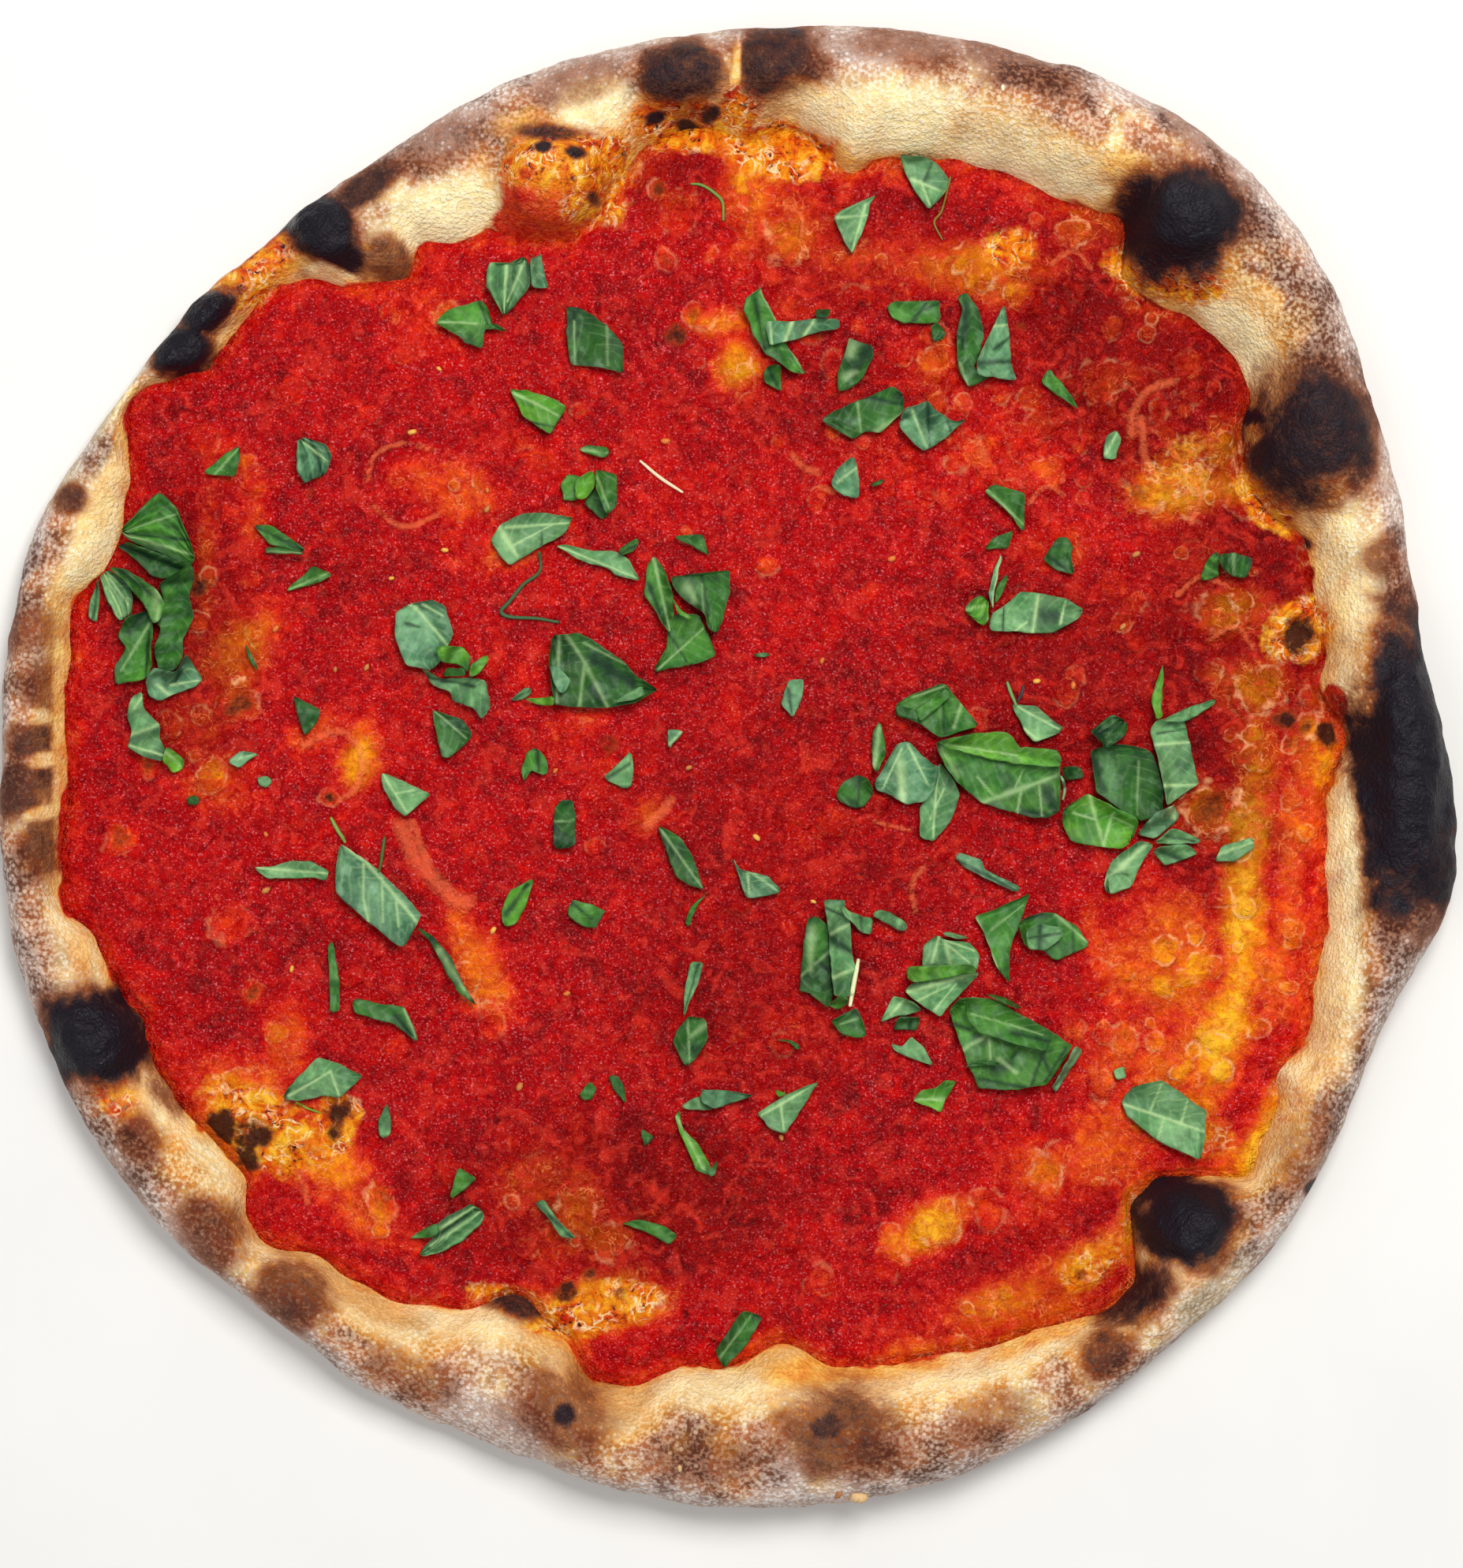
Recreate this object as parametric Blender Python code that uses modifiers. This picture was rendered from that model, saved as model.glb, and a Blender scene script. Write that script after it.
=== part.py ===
"""Tomato pizza: a baked dough base with a puffed rim, tomato sauce in its well
and torn basil leaves on top. Sizes are in millimetres until they reach a mesh.

The dough is a turned profile, pulled to the uneven outline of a hand-stretched
base. The sauce is a thin turned layer in the well, and each basil piece is a
thin wavy solid laid on whatever lies under it.
"""
import math
import random

import bmesh
import bpy
from mathutils import Matrix, Vector, noise
from mathutils.bvhtree import BVHTree

MM = 0.001
OBJECT_NAME = "tomato_pizza"

# Dough: the plain turned form, before it is pulled to its outline.
STEPS = 150                 # points round the pizza, shared by dough and sauce
WELL_RADIUS = 140.0         # turned form: where the rim starts to rise
TURNED_RADIUS = 161.0       # turned form: the outer edge
FLOOR_HEIGHT = 2.6          # thickness of the dough under the sauce
TURNED_HEIGHT = 15.0        # turned form: top of the rim
EQUATOR_HEIGHT = 6.5        # height at which the rim is widest
CREST_PLACE = 0.54          # the rim's top, as a share of its width
FLAT_PLACE = 0.68           # the flat underside ends here, as a share of the rim's width
INNER_STEPS = 5
OUTER_STEPS = 4
UNDER_STEPS = 3
WELL_RING = 0.55            # a ring of points on the well's floor, as a share of its radius
RIM_FULLNESS = 0.85         # below 1, the rim's inner slope bulges
RELIEF_RISE = 4.0           # height above the floor by which the rim's relief is full
RIM_ROUGHNESS = 0.7
ROUGHNESS_SCALE = 0.055     # lumps per millimetre
DOUGH_SEED = 3.0
SAUCE_SEED = 8.0

# Outer radius at even steps, counter-clockwise from +X.
OUTLINE_RADII = (
    158.6, 155.4, 158.5, 163.5, 170.6, 174.4, 172.9, 169.2, 165.6, 162.6, 160.4, 158.0,
    155.5, 154.7, 156.2, 157.3, 161.9, 161.5, 160.6, 162.1, 162.5, 162.1, 160.8, 157.8,
    158.6, 158.3, 160.5, 163.2, 164.0, 163.5, 161.9, 160.2, 159.4, 156.2, 155.6, 161.6,
)

# Where the sauce meets the rim: angle in degrees and radius.
SAUCE_EDGE = (
    (3, 135), (10, 133), (20, 136), (28, 130), (34, 137), (41, 143.5), (49, 138), (55, 148),
    (65, 144.5), (73, 140), (79, 134), (86, 140), (95, 140), (100, 130), (107, 121), (113, 127),
    (120, 132), (126, 131), (131, 142), (138, 145), (148, 154), (155, 146), (163, 145), (169, 148.5),
    (182, 146), (190, 149), (197, 143.5), (205, 141.5), (217, 140), (224, 146), (231, 140.5),
    (239, 138), (248, 125), (254, 131), (260, 138), (267, 132), (276, 128.5), (284, 136),
    (297, 141), (306, 145), (314, 130.5), (322, 145), (330, 139.5), (341, 137), (351, 133),
)
EDGE_BLEND = 2.0            # degrees over which the sauce's edge is rounded off

# Height of the rim's top: angle in degrees and height.
RIM_HEIGHTS = (
    (0, 18.5), (18, 15), (32, 18), (52, 20), (74, 18), (90, 15.5), (108, 14.5), (122, 11.5),
    (131, 9), (142, 9), (152, 10.5), (168, 12.5), (200, 13.5), (240, 15), (262, 18), (288, 19),
    (305, 16), (333, 15.5), (349, 18),
)

# Charred bubbles on the rim: x, y, half length, half width, turn in degrees, rise.
BLISTERS = (
    (-89, 118, 11, 8, -50, 5), (-76, 112, 7, 6, -50, 2.5), (-115, 100, 7, 5.5, 30, 3.5),
    (-120, 91, 8, 6.5, 0, 3.5), (-139, -59, 11, 10.5, 0, 4), (100, -99, 11, 9, -20, 5),
    (99, 120, 12, 11, 0, 5), (128, 72, 16, 14, 60, 3), (149, 2, 30, 9, 88, 3.5),
    (155, -20, 6, 6, 0, 2), (11, 155, 9, 9, 0, 2.5), (-11, 151, 10, 9, 0, 3),
    (-38, 127, 14, 12, 10, 7.5), (-105, -81, 10, 8, 40, 2), (100, -112, 9, 6, 45, 2),
)

# Sauce: a layer in the well, thin at its edge, with the bubbles under it showing.
SAUCE_GAP = 0.4             # clearance from the dough
SAUCE_DEPTH = 1.7
EDGE_DEPTH = 0.6
SAUCE_RINGS = (0.2, 0.38, 0.55, 0.7, 0.83, 0.94)    # shares of the radius, before the edge
SAUCE_ROUGHNESS = 0.35
# x, y, radius, rise
SAUCE_BUMPS = (
    (100, 76, 14, 3), (99, 63, 12, 1.5), (125, 29, 8, 2.2), (-29, -117, 12, 2.5),
    (-71, 62, 13, 1.2), (-88, -2, 11, 1.5), (-18, -108, 12, 1.5), (78, -108, 11, 1.5),
    (88, -30, 16, 1.2), (43, -101, 14, 1.5), (118, -8, 12, 1.5), (-105, 20, 12, 0.8),
    (112, 47, 12, 1.2), (36, 112, 16, 1.0), (13, 118, 12, 1.2), (-60, -65, 10, 1.0),
)

# Basil
LEAF_THICKNESS = 0.5
LEAF_GAP = 0.35             # clearance from whatever lies under a leaf
LEAF_CELL = 3.3             # length of one step of a leaf's surface
SUPPORT_REACH = 1.7         # a leaf clears what lies this near to each of its points
SETTLE_PASSES = 3
FLAKE_SINK = 0.45           # how deep a flake's underside lies in the sauce
FLAKE_CLEARANCE = 0.1       # how far every flake stays above the sauce's underside
FLAKE_CELL = 5.0
FLAKE_SEED = 500
CURL_SEED = 1000
RAY_START = 100.0           # above everything, where a search for the surface starts

# Every basil piece: x, y, length, width, turn in degrees, form.
# A piece lies on those listed before it.
LEAVES = (
    (43.5, 129.1, 12.5, 9.5, -48, "tile"), (27.5, 120.5, 11, 10, -90, "wedge"),
    (-48.3, 106.4, 13, 10, -100, "wedge"), (-57, 97.6, 14, 9.5, 180, "wedge"),
    (-29.8, 94.5, 14.5, 11.5, -49, "tile"), (-41.9, 78.5, 13, 8, -28, "tile"),
    (10, 96.4, 21.5, 6, -62, "blade"), (16.3, 97.3, 16.5, 4.5, 3, "strip"),
    (27.9, 88.8, 12, 7.3, 70, "tile"), (53, 94, 20.5, 6, -85, "blade"),
    (59.6, 91.4, 16, 9, 85, "wedge"), (29.8, 77.8, 19.5, 10, 195, "wedge"),
    (44.3, 75.4, 15, 10.5, -5, "round"), (68.1, 33.9, 20, 9, -3, "leaf"),
    (-91.4, 68, 10.5, 8, -70, "tile"), (-124.5, 52.7, 17, 16, -5, "fan"),
    (-125.4, 45.1, 18, 8, -25, "blade"), (-122.3, 34.2, 20, 9.5, -85, "strip"),
    (-134.8, 38.2, 12, 7, -62, "blade"), (-130.9, 26.1, 17, 9, 75, "leaf"),
    (-121.6, 19.8, 12, 9, 10, "fan"), (-128.5, 9.6, 13.5, 7.5, -70, "strip"),
    (-67.2, 29.5, 16, 13, -80, "round"), (-59.1, 16.4, 16.5, 6, -35, "strip"),
    (-60.8, 7.4, 10.5, 8.5, -60, "tile"), (-71.5, -5.8, 10.5, 10, -70, "wedge"),
    (-43.1, 50.7, 18, 9.5, 10, "leaf"), (-28.4, 45.3, 18.5, 4.6, -20, "blade"),
    (-9, 27.3, 14, 11, 20, "tile"), (-5.4, 37.3, 14, 12, -80, "wedge"),
    (-15.2, 37.8, 17.5, 6.5, -75, "blade"), (-28.4, 20.9, 25, 15, -28, "half"),
    (-96.6, -22.6, 17, 4.4, -2, "strip"), (-77.2, -28.7, 24, 11, -43, "tile"),
    (-75.7, -55.7, 16.5, 5, -20, "strip"), (-10.4, -20.7, 17, 6, -58, "blade"),
    (2.3, -125.8, 13.5, 5.2, 55, "tile"), (-89.2, -69, 18, 10, 20, "fan"),
    (-60.4, -102.1, 17, 7, 35, "leaf"), (13.3, -74.6, 15, 9, 38, "wedge"),
    (87.5, -3.6, 17, 15.5, 20, "round"), (98.4, 3, 20, 9, -85, "tile"),
    (46.2, -7.9, 17.5, 8.5, 80, "leaf"), (38.8, -1.3, 14.5, 13, 0, "round"),
    (45.7, 12.2, 18, 10, -25, "tile"), (59.9, -1.6, 28.5, 16.5, 158, "leaf"),
    (90.8, -18.6, 24, 5.5, 50, "strip"), (81.7, -11.9, 17, 11, -20, "round"),
    (67.9, 10.5, 12, 7.5, -30, "leaf"), (60.8, -36.3, 19, 10, -95, "wedge"),
    (71.5, -37.2, 16, 10, -12, "leaf"), (19.4, -42.9, 19.5, 7, 88, "half"),
    (24.6, -39.4, 22, 6, -84, "strip"), (49, -40.1, 12.5, 10, 0, "round"),
    (46.4, -49.4, 16.5, 8, 15, "wedge"), (63, -60.7, 28.5, 17, -25, "leaf"),
    (96.3, -77, 20, 14, -35, "tile"),
)

# The smaller pieces, which are one with the sauce that they stick to.
FLAKES = (
    (9.7, 85.8, 5.5, 5, -60, "wedge"), (40.9, 100.4, 12, 5, 0, "strip"),
    (72.6, 83.7, 11.5, 5, -50, "wedge"), (25.6, 63.8, 9.5, 6, 80, "half"),
    (61.3, 58.1, 11.5, 7, -60, "wedge"), (84.3, 70.6, 8, 4.3, 70, "tile"),
    (73.1, 46.9, 8.5, 7, -40, "tile"), (107.4, 44.4, 6.5, 4.3, 60, "tile"),
    (113.3, 44.4, 6, 5, 0, "tile"), (56.3, 39, 11, 6, 65, "blade"),
    (-110.8, 66.8, 9.5, 5.5, 200, "wedge"), (-99.2, 50.1, 13, 6, -30, "blade"),
    (-92.3, 41.8, 12.5, 4.8, 205, "wedge"), (-93.2, 11.3, 9, 6, -75, "wedge"),
    (-107.4, 2.2, 7, 3.5, 15, "strip"), (-118.3, -7.5, 4, 3, 0, "tile"),
    (-7.3, 50.3, 8, 3.8, -15, "wedge"), (-33.9, 61.1, 8.5, 5.5, 70, "blade"),
    (-27.5, 60.2, 11, 6, -65, "blade"), (14.4, 15.5, 8, 5, 75, "half"),
    (-42.8, 0.8, 7.5, 5.5, 60, "half"), (-23.7, -0.8, 8.3, 6.5, 60, "wedge"),
    (-36.2, -12.6, 11, 5.2, 88, "tile"), (-60.5, -46, 20, 3.4, -52, "blade"),
    (-87.1, -46.3, 16, 2.8, -85, "strip"), (-46.6, -30.1, 11, 4.5, 60, "blade"),
    (-31.5, -32.5, 8.5, 6, -30, "leaf"), (6.6, -24.9, 11.5, 6.5, -20, "wedge"),
    (-7.4, -46.8, 10.5, 3, 75, "strip"), (-31, -71.3, 4.3, 4, 0, "round"),
    (-75.7, -77.7, 8, 3.2, 88, "strip"), (-58.7, -91.1, 7, 5.5, 60, "wedge"),
    (-38.3, -99.8, 11, 2.6, -50, "strip"), (-17.8, -102.6, 12.5, 4.2, -15, "strip"),
    (-7.4, -60.4, 12, 7.5, 72, "leaf"), (-1.7, -73, 15, 4, 5, "wedge"),
    (-7.3, -83, 13, 4, -70, "strip"), (27.7, -5.3, 8, 7, 0, "round"),
    (112.4, -18.1, 8.6, 4.6, 18, "tile"), (57, -23.1, 14, 3.4, -28, "strip"),
    (26.7, -58.6, 8, 6, 30, "tile"), (40.7, -63, 9, 5.5, -30, "wedge"),
    (45.4, -73.2, 9.8, 6.5, 20, "half"), (86.2, -67, 3.4, 3.4, 0, "tile"),
)


def reset_scene():
    """Remove the objects of the start-up scene."""
    for obj in list(bpy.data.objects):
        bpy.data.objects.remove(obj, do_unlink=True)


def make_collection(name):
    """Return a new collection linked to the scene."""
    collection = bpy.data.collections.new(name)
    bpy.context.scene.collection.children.link(collection)
    return collection


def make_material(name, colour, roughness):
    """Return a Principled material of one colour."""
    material = bpy.data.materials.new(name)
    material.use_nodes = True
    shader = material.node_tree.nodes["Principled BSDF"]
    shader.inputs["Base Color"].default_value = (*colour, 1.0)
    shader.inputs["Roughness"].default_value = roughness
    shader.inputs["Metallic"].default_value = 0.0
    return material


def add_object(name, mesh, collection, material):
    """Return a new object that shows the mesh in the material."""
    obj = bpy.data.objects.new(name, mesh)
    collection.objects.link(obj)
    obj.data.materials.clear()
    obj.data.materials.append(material)
    return obj


def at_angle(pairs, degrees):
    """Read a list of (angle, value) pairs round the circle, easing between them."""
    degrees %= 360.0
    before = (pairs[-1][0] - 360.0, pairs[-1][1])
    for after in list(pairs) + [(pairs[0][0] + 360.0, pairs[0][1])]:
        if degrees <= after[0]:
            share = (degrees - before[0]) / (after[0] - before[0])
            ease = 0.5 - 0.5 * math.cos(math.pi * share)
            return before[1] + (after[1] - before[1]) * ease
        before = after
    return before[1]


def outline_radius(degrees):
    """Outer radius of the dough: a smooth curve through the even steps."""
    count = len(OUTLINE_RADII)
    place = (degrees % 360.0) * count / 360.0
    index = int(place)
    share = place - index
    a, b, c, d = (OUTLINE_RADII[(index + k) % count] for k in (-1, 0, 1, 2))
    bend = 2 * a - 5 * b + 4 * c - d
    twist = 3 * b - a - 3 * c + d
    return b + 0.5 * share * (c - a + share * (bend + share * twist))


def sauce_radius(degrees):
    """Radius at which the rim starts to rise, with its corners rounded off."""
    turns = (-EDGE_BLEND, 0.0, EDGE_BLEND)
    return sum(at_angle(SAUCE_EDGE, degrees + turn) for turn in turns) / len(turns)


def bubble_rise(x, y, bubbles):
    """Total rise of the oval bubbles at one place."""
    total = 0.0
    for centre_x, centre_y, half_length, half_width, turn, rise in bubbles:
        angle = math.radians(turn)
        along = (x - centre_x) * math.cos(angle) + (y - centre_y) * math.sin(angle)
        across = (y - centre_y) * math.cos(angle) - (x - centre_x) * math.sin(angle)
        inside = 1.0 - (along / half_length) ** 2 - (across / half_width) ** 2
        if inside > 0.0:
            total += rise * math.sqrt(inside) * min(1.0, 1.6 * inside)
    return total


def lumps(x, y, scale, seed):
    """Smooth unevenness between -1 and 1."""
    return noise.noise(Vector((x * scale, y * scale, seed)))


def turned_mesh(name, profile):
    """Turn a profile of (radius, height) points round Z and return the mesh."""
    mesh = bpy.data.meshes.new(name + "_profile")
    points = [(radius * MM, 0.0, height * MM) for radius, height in profile]
    edges = [(index, index + 1) for index in range(len(points) - 1)]
    mesh.from_pydata(points, edges, [])
    obj = bpy.data.objects.new(name + "_profile", mesh)
    bpy.context.scene.collection.objects.link(obj)
    screw = obj.modifiers.new("turn", "SCREW")
    screw.axis = "Z"
    screw.angle = math.tau
    screw.steps = STEPS
    screw.render_steps = STEPS
    screw.use_merge_vertices = True
    screw.merge_threshold = 0.0001
    screw.use_smooth_shade = True
    turned = evaluated_mesh(obj, name)
    bpy.data.objects.remove(obj, do_unlink=True)
    return turned


def evaluated_mesh(obj, name):
    """Return a new mesh with the object's modifiers applied."""
    bpy.context.view_layer.update()
    graph = bpy.context.evaluated_depsgraph_get()
    mesh = bpy.data.meshes.new_from_object(obj.evaluated_get(graph))
    mesh.name = name
    return mesh


def rim_point(share, height):
    """A point of the turned rim, from its share of the rim's width and its height."""
    return (WELL_RADIUS + share * (TURNED_RADIUS - WELL_RADIUS), height)


def dough_profile():
    """The turned dough: well floor, rim, and flat underside."""
    profile = [(0.0, FLOOR_HEIGHT), (WELL_RING * WELL_RADIUS, FLOOR_HEIGHT), (WELL_RADIUS, FLOOR_HEIGHT)]
    for step in range(1, INNER_STEPS + 1):
        share = step / INNER_STEPS
        climb = math.sin(0.5 * math.pi * share) ** RIM_FULLNESS
        profile.append(rim_point(CREST_PLACE * share, FLOOR_HEIGHT + (TURNED_HEIGHT - FLOOR_HEIGHT) * climb))
    for step in range(1, OUTER_STEPS + 1):
        angle = 0.5 * math.pi * (1.0 - step / OUTER_STEPS)
        height = EQUATOR_HEIGHT + (TURNED_HEIGHT - EQUATOR_HEIGHT) * math.sin(angle)
        profile.append(rim_point(CREST_PLACE + (1.0 - CREST_PLACE) * math.cos(angle), height))
    for step in range(1, UNDER_STEPS + 1):
        angle = 0.5 * math.pi * step / UNDER_STEPS
        share = FLAT_PLACE + (1.0 - FLAT_PLACE) * math.cos(angle)
        profile.append(rim_point(share, EQUATOR_HEIGHT * (1.0 - math.sin(angle))))
    profile.append((0.0, 0.0))
    return profile


def pull_dough_vertex(vertex):
    """Move a vertex of the turned dough to the uneven outline and rim."""
    x, y, height = (value / MM for value in vertex.co)
    radius = math.hypot(x, y)
    if radius < 1.0:
        return
    degrees = math.degrees(math.atan2(y, x))
    edge = sauce_radius(degrees)
    rim = outline_radius(degrees)
    share = (radius - WELL_RADIUS) / (TURNED_RADIUS - WELL_RADIUS)
    if share <= 0.0:
        new_radius = radius * edge / WELL_RADIUS
    else:
        new_radius = edge + share * (rim - edge)
    new_x = x * new_radius / radius
    new_y = y * new_radius / radius
    if share > 0.0 and height > FLOOR_HEIGHT:
        grown = at_angle(RIM_HEIGHTS, degrees) - FLOOR_HEIGHT
        height = FLOOR_HEIGHT + (height - FLOOR_HEIGHT) * grown / (TURNED_HEIGHT - FLOOR_HEIGHT)
        fade = min(1.0, (height - FLOOR_HEIGHT) / RELIEF_RISE)
        height += fade * RIM_ROUGHNESS * lumps(new_x, new_y, ROUGHNESS_SCALE, DOUGH_SEED)
        height += fade * bubble_rise(new_x, new_y, BLISTERS)
    vertex.co = Vector((new_x, new_y, height)) * MM


def make_crust(collection, material):
    """The dough base with its puffed rim and charred bubbles, one solid."""
    mesh = turned_mesh("crust", dough_profile())
    for vertex in mesh.vertices:
        pull_dough_vertex(vertex)
    mesh.update()
    return add_object("crust", mesh, collection, material)


def sauce_profile():
    """The turned sauce: domed top, thin edge and flat underside."""
    bottom = FLOOR_HEIGHT + SAUCE_GAP
    edge = WELL_RADIUS - SAUCE_GAP
    profile = [(0.0, bottom + SAUCE_DEPTH)]
    profile += [(share * edge, bottom + SAUCE_DEPTH) for share in SAUCE_RINGS]
    profile += [(edge, bottom + EDGE_DEPTH), (edge, bottom), (0.0, bottom)]
    return profile


def pull_sauce_vertex(vertex):
    """Move a vertex of the turned sauce to the well's outline and raise its bubbles."""
    x, y, height = (value / MM for value in vertex.co)
    radius = math.hypot(x, y)
    factor = 1.0
    if radius > 1.0:
        edge = sauce_radius(math.degrees(math.atan2(y, x)))
        factor = (edge - SAUCE_GAP) / (WELL_RADIUS - SAUCE_GAP)
    x *= factor
    y *= factor
    if height > FLOOR_HEIGHT + SAUCE_GAP + 1.1 * EDGE_DEPTH:
        bumps = [(a, b, size, size, 0.0, rise) for a, b, size, rise in SAUCE_BUMPS]
        height += SAUCE_ROUGHNESS * lumps(x, y, ROUGHNESS_SCALE, SAUCE_SEED)
        height += bubble_rise(x, y, bumps)
    vertex.co = Vector((x, y, height)) * MM


def make_sauce(collection, material):
    """The layer of tomato sauce, before the basil flakes are joined to it."""
    mesh = turned_mesh("tomato_sauce", sauce_profile())
    for vertex in mesh.vertices:
        pull_sauce_vertex(vertex)
    mesh.update()
    return add_object("tomato_sauce", mesh, collection, material)


def form_edges(form, share):
    """Lower and upper edge of a basil piece at a share of its length, in widths."""
    middle = 4.0 * share * (1.0 - share)
    half = 0.5
    if form == "wedge":
        half = 0.06 + 0.44 * (1.0 - share) ** 0.9
    elif form == "fan":
        half = 0.1 + 0.4 * math.sin(0.5 * math.pi * min(1.0, 1.25 * share))
    elif form == "blade":
        half = 0.06 + 0.44 * middle ** 0.8
    elif form == "leaf":
        half = 0.07 + 0.43 * math.sin(math.pi * share ** 0.85)
    elif form == "round":
        half = 0.14 + 0.36 * math.sqrt(middle)
    elif form == "strip":
        half = 0.5 - 0.14 * (1.0 - middle) ** 2
    if form == "half":
        return -0.5, -0.38 + 0.88 * middle ** 0.7
    return -half, half


def leaf_grid(row, seed, cell):
    """Return a flat triangulated grid in the outline of one basil piece."""
    x, y, length, width, turn, form = row
    draw = random.Random(seed)
    skew = draw.uniform(-0.35, 0.35) if form in ("tile", "strip") else 0.0
    sweep = draw.uniform(-0.12, 0.12) if form in ("blade", "leaf", "strip") else 0.0
    along_steps = min(7, max(2, round(length / cell)))
    across_steps = min(4, max(1, round(width / cell)))
    bm = bmesh.new()
    bmesh.ops.create_grid(bm, x_segments=along_steps, y_segments=across_steps, size=0.5)
    place = Matrix.Translation((x, y, 0.0)) @ Matrix.Rotation(math.radians(turn), 4, "Z")
    for vertex in bm.verts:
        share = vertex.co.x + 0.5
        lower, upper = form_edges(form, share)
        across = (lower + (upper - lower) * (vertex.co.y + 0.5)) * width
        across += sweep * length * (4.0 * share * (1.0 - share) - 0.5)
        along = (share - 0.5) * length + skew * across
        vertex.co = place @ Vector((along, across, 0.0))
    bmesh.ops.triangulate(bm, faces=bm.faces[:])
    return bm


def surface_height(x, y, trees):
    """Height of the highest surface under a point, or of the well's floor."""
    height = FLOOR_HEIGHT
    for tree in trees:
        hit = tree.ray_cast(Vector((x, y, RAY_START)), Vector((0.0, 0.0, -1.0)))
        if hit[0] is not None:
            height = max(height, hit[0].z)
    return height


def support_height(x, y, trees):
    """Highest surface within reach of a point."""
    places = [(x, y)]
    for step in range(8):
        angle = step * math.tau / 8
        places.append((x + SUPPORT_REACH * math.cos(angle), y + SUPPORT_REACH * math.sin(angle)))
    return max(surface_height(a, b, trees) for a, b in places)


def settle(bm, trees):
    """Lay a leaf's points on what is under them, easing its slopes from above."""
    for vertex in bm.verts:
        vertex.co.z = support_height(vertex.co.x, vertex.co.y, trees) + LEAF_GAP
    for _ in range(SETTLE_PASSES):
        eased = []
        for vertex in bm.verts:
            around = [edge.other_vert(vertex).co.z for edge in vertex.link_edges]
            eased.append(max(vertex.co.z, sum(around) / len(around)))
        for vertex, height in zip(bm.verts, eased):
            vertex.co.z = height


def curl(bm, row, seed):
    """Lift a leaf's tip and edges a little, unevenly."""
    x, y, length, width, turn, form = row
    draw = random.Random(CURL_SEED + seed)
    tip_lift = draw.uniform(0.03, 0.09) * length
    edge_lift = draw.uniform(0.02, 0.10) * width
    ripple = draw.uniform(0.1, 0.25)
    angle = math.radians(turn)
    for vertex in bm.verts:
        along = ((vertex.co.x - x) * math.cos(angle) + (vertex.co.y - y) * math.sin(angle)) / length
        across = ((vertex.co.y - y) * math.cos(angle) - (vertex.co.x - x) * math.sin(angle)) / width
        vertex.co.z += tip_lift * max(0.0, 2.0 * along) ** 2
        vertex.co.z += edge_lift * min(1.0, (2.0 * across) ** 2)
        vertex.co.z += ripple * (1.0 + math.sin(9.0 * along + seed))


def tree_of(mesh):
    """A search tree over a mesh, in millimetres."""
    points = [vertex.co / MM for vertex in mesh.vertices]
    return BVHTree.FromPolygons(points, [tuple(face.vertices) for face in mesh.polygons])


def leaf_mesh(bm, name):
    """Turn a grid in millimetres into a mesh in metres."""
    bmesh.ops.scale(bm, vec=(MM, MM, MM), verts=bm.verts[:])
    mesh = bpy.data.meshes.new(name)
    bm.to_mesh(mesh)
    bm.free()
    mesh.shade_smooth()
    return mesh


def thicken(obj, thickness):
    """Give an open surface its thickness, upwards."""
    solid = obj.modifiers.new("thickness", "SOLIDIFY")
    solid.thickness = thickness * MM
    solid.offset = 1.0


def join_flakes(sauce, material):
    """Join the small basil flakes to the sauce with one union."""
    flakes = make_collection("flakes")
    trees = [tree_of(sauce.data)]
    lowest = FLOOR_HEIGHT + SAUCE_GAP + FLAKE_CLEARANCE
    for index, row in enumerate(FLAKES):
        bm = leaf_grid(row, FLAKE_SEED + index, FLAKE_CELL)
        for vertex in bm.verts:
            top = surface_height(vertex.co.x, vertex.co.y, trees)
            vertex.co.z = max(top - FLAKE_SINK, lowest)
        flake = add_object("flake_%02d" % index, leaf_mesh(bm, "flake"), flakes, material)
        thicken(flake, 2.0 * FLAKE_SINK)
    union = sauce.modifiers.new("join", "BOOLEAN")
    union.operation = "UNION"
    union.operand_type = "COLLECTION"
    union.collection = flakes
    union.solver = "EXACT"
    sauce.data = evaluated_mesh(sauce, "tomato_sauce")
    sauce.modifiers.clear()
    for flake in list(flakes.objects):
        bpy.data.objects.remove(flake, do_unlink=True)
    bpy.data.collections.remove(flakes)


def make_leaves(collection, material, trees):
    """Lay the basil pieces one after another, each on those before it."""
    for index, row in enumerate(LEAVES):
        bm = leaf_grid(row, index, LEAF_CELL)
        settle(bm, trees)
        curl(bm, row, index)
        name = "basil_%02d" % (index + 1)
        obj = add_object(name, leaf_mesh(bm, name), collection, material)
        thicken(obj, LEAF_THICKNESS)
        trees.append(tree_of(evaluated_mesh(obj, name + "_top")))


def build():
    """Build the whole pizza."""
    reset_scene()
    collection = make_collection(OBJECT_NAME)
    dough = make_material("baked_crust", (0.66, 0.42, 0.20), 0.75)
    tomato = make_material("tomato_sauce", (0.55, 0.02, 0.012), 0.35)
    green = make_material("basil_leaf", (0.045, 0.17, 0.04), 0.5)
    crust = make_crust(collection, dough)
    sauce = make_sauce(collection, tomato)
    join_flakes(sauce, tomato)
    make_leaves(collection, green, [tree_of(crust.data), tree_of(sauce.data)])


build()
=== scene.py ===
"""Looks of the tomato pizza: baked dough, wet tomato sauce and torn basil.

Lengths are millimetres until they reach a mesh. The dough and the sauce are fine meshes over the
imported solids, with their colours painted on the vertices by rule, and each basil piece is laid on
whatever lies under it, in the order of the table.
"""
import itertools
import math

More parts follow.
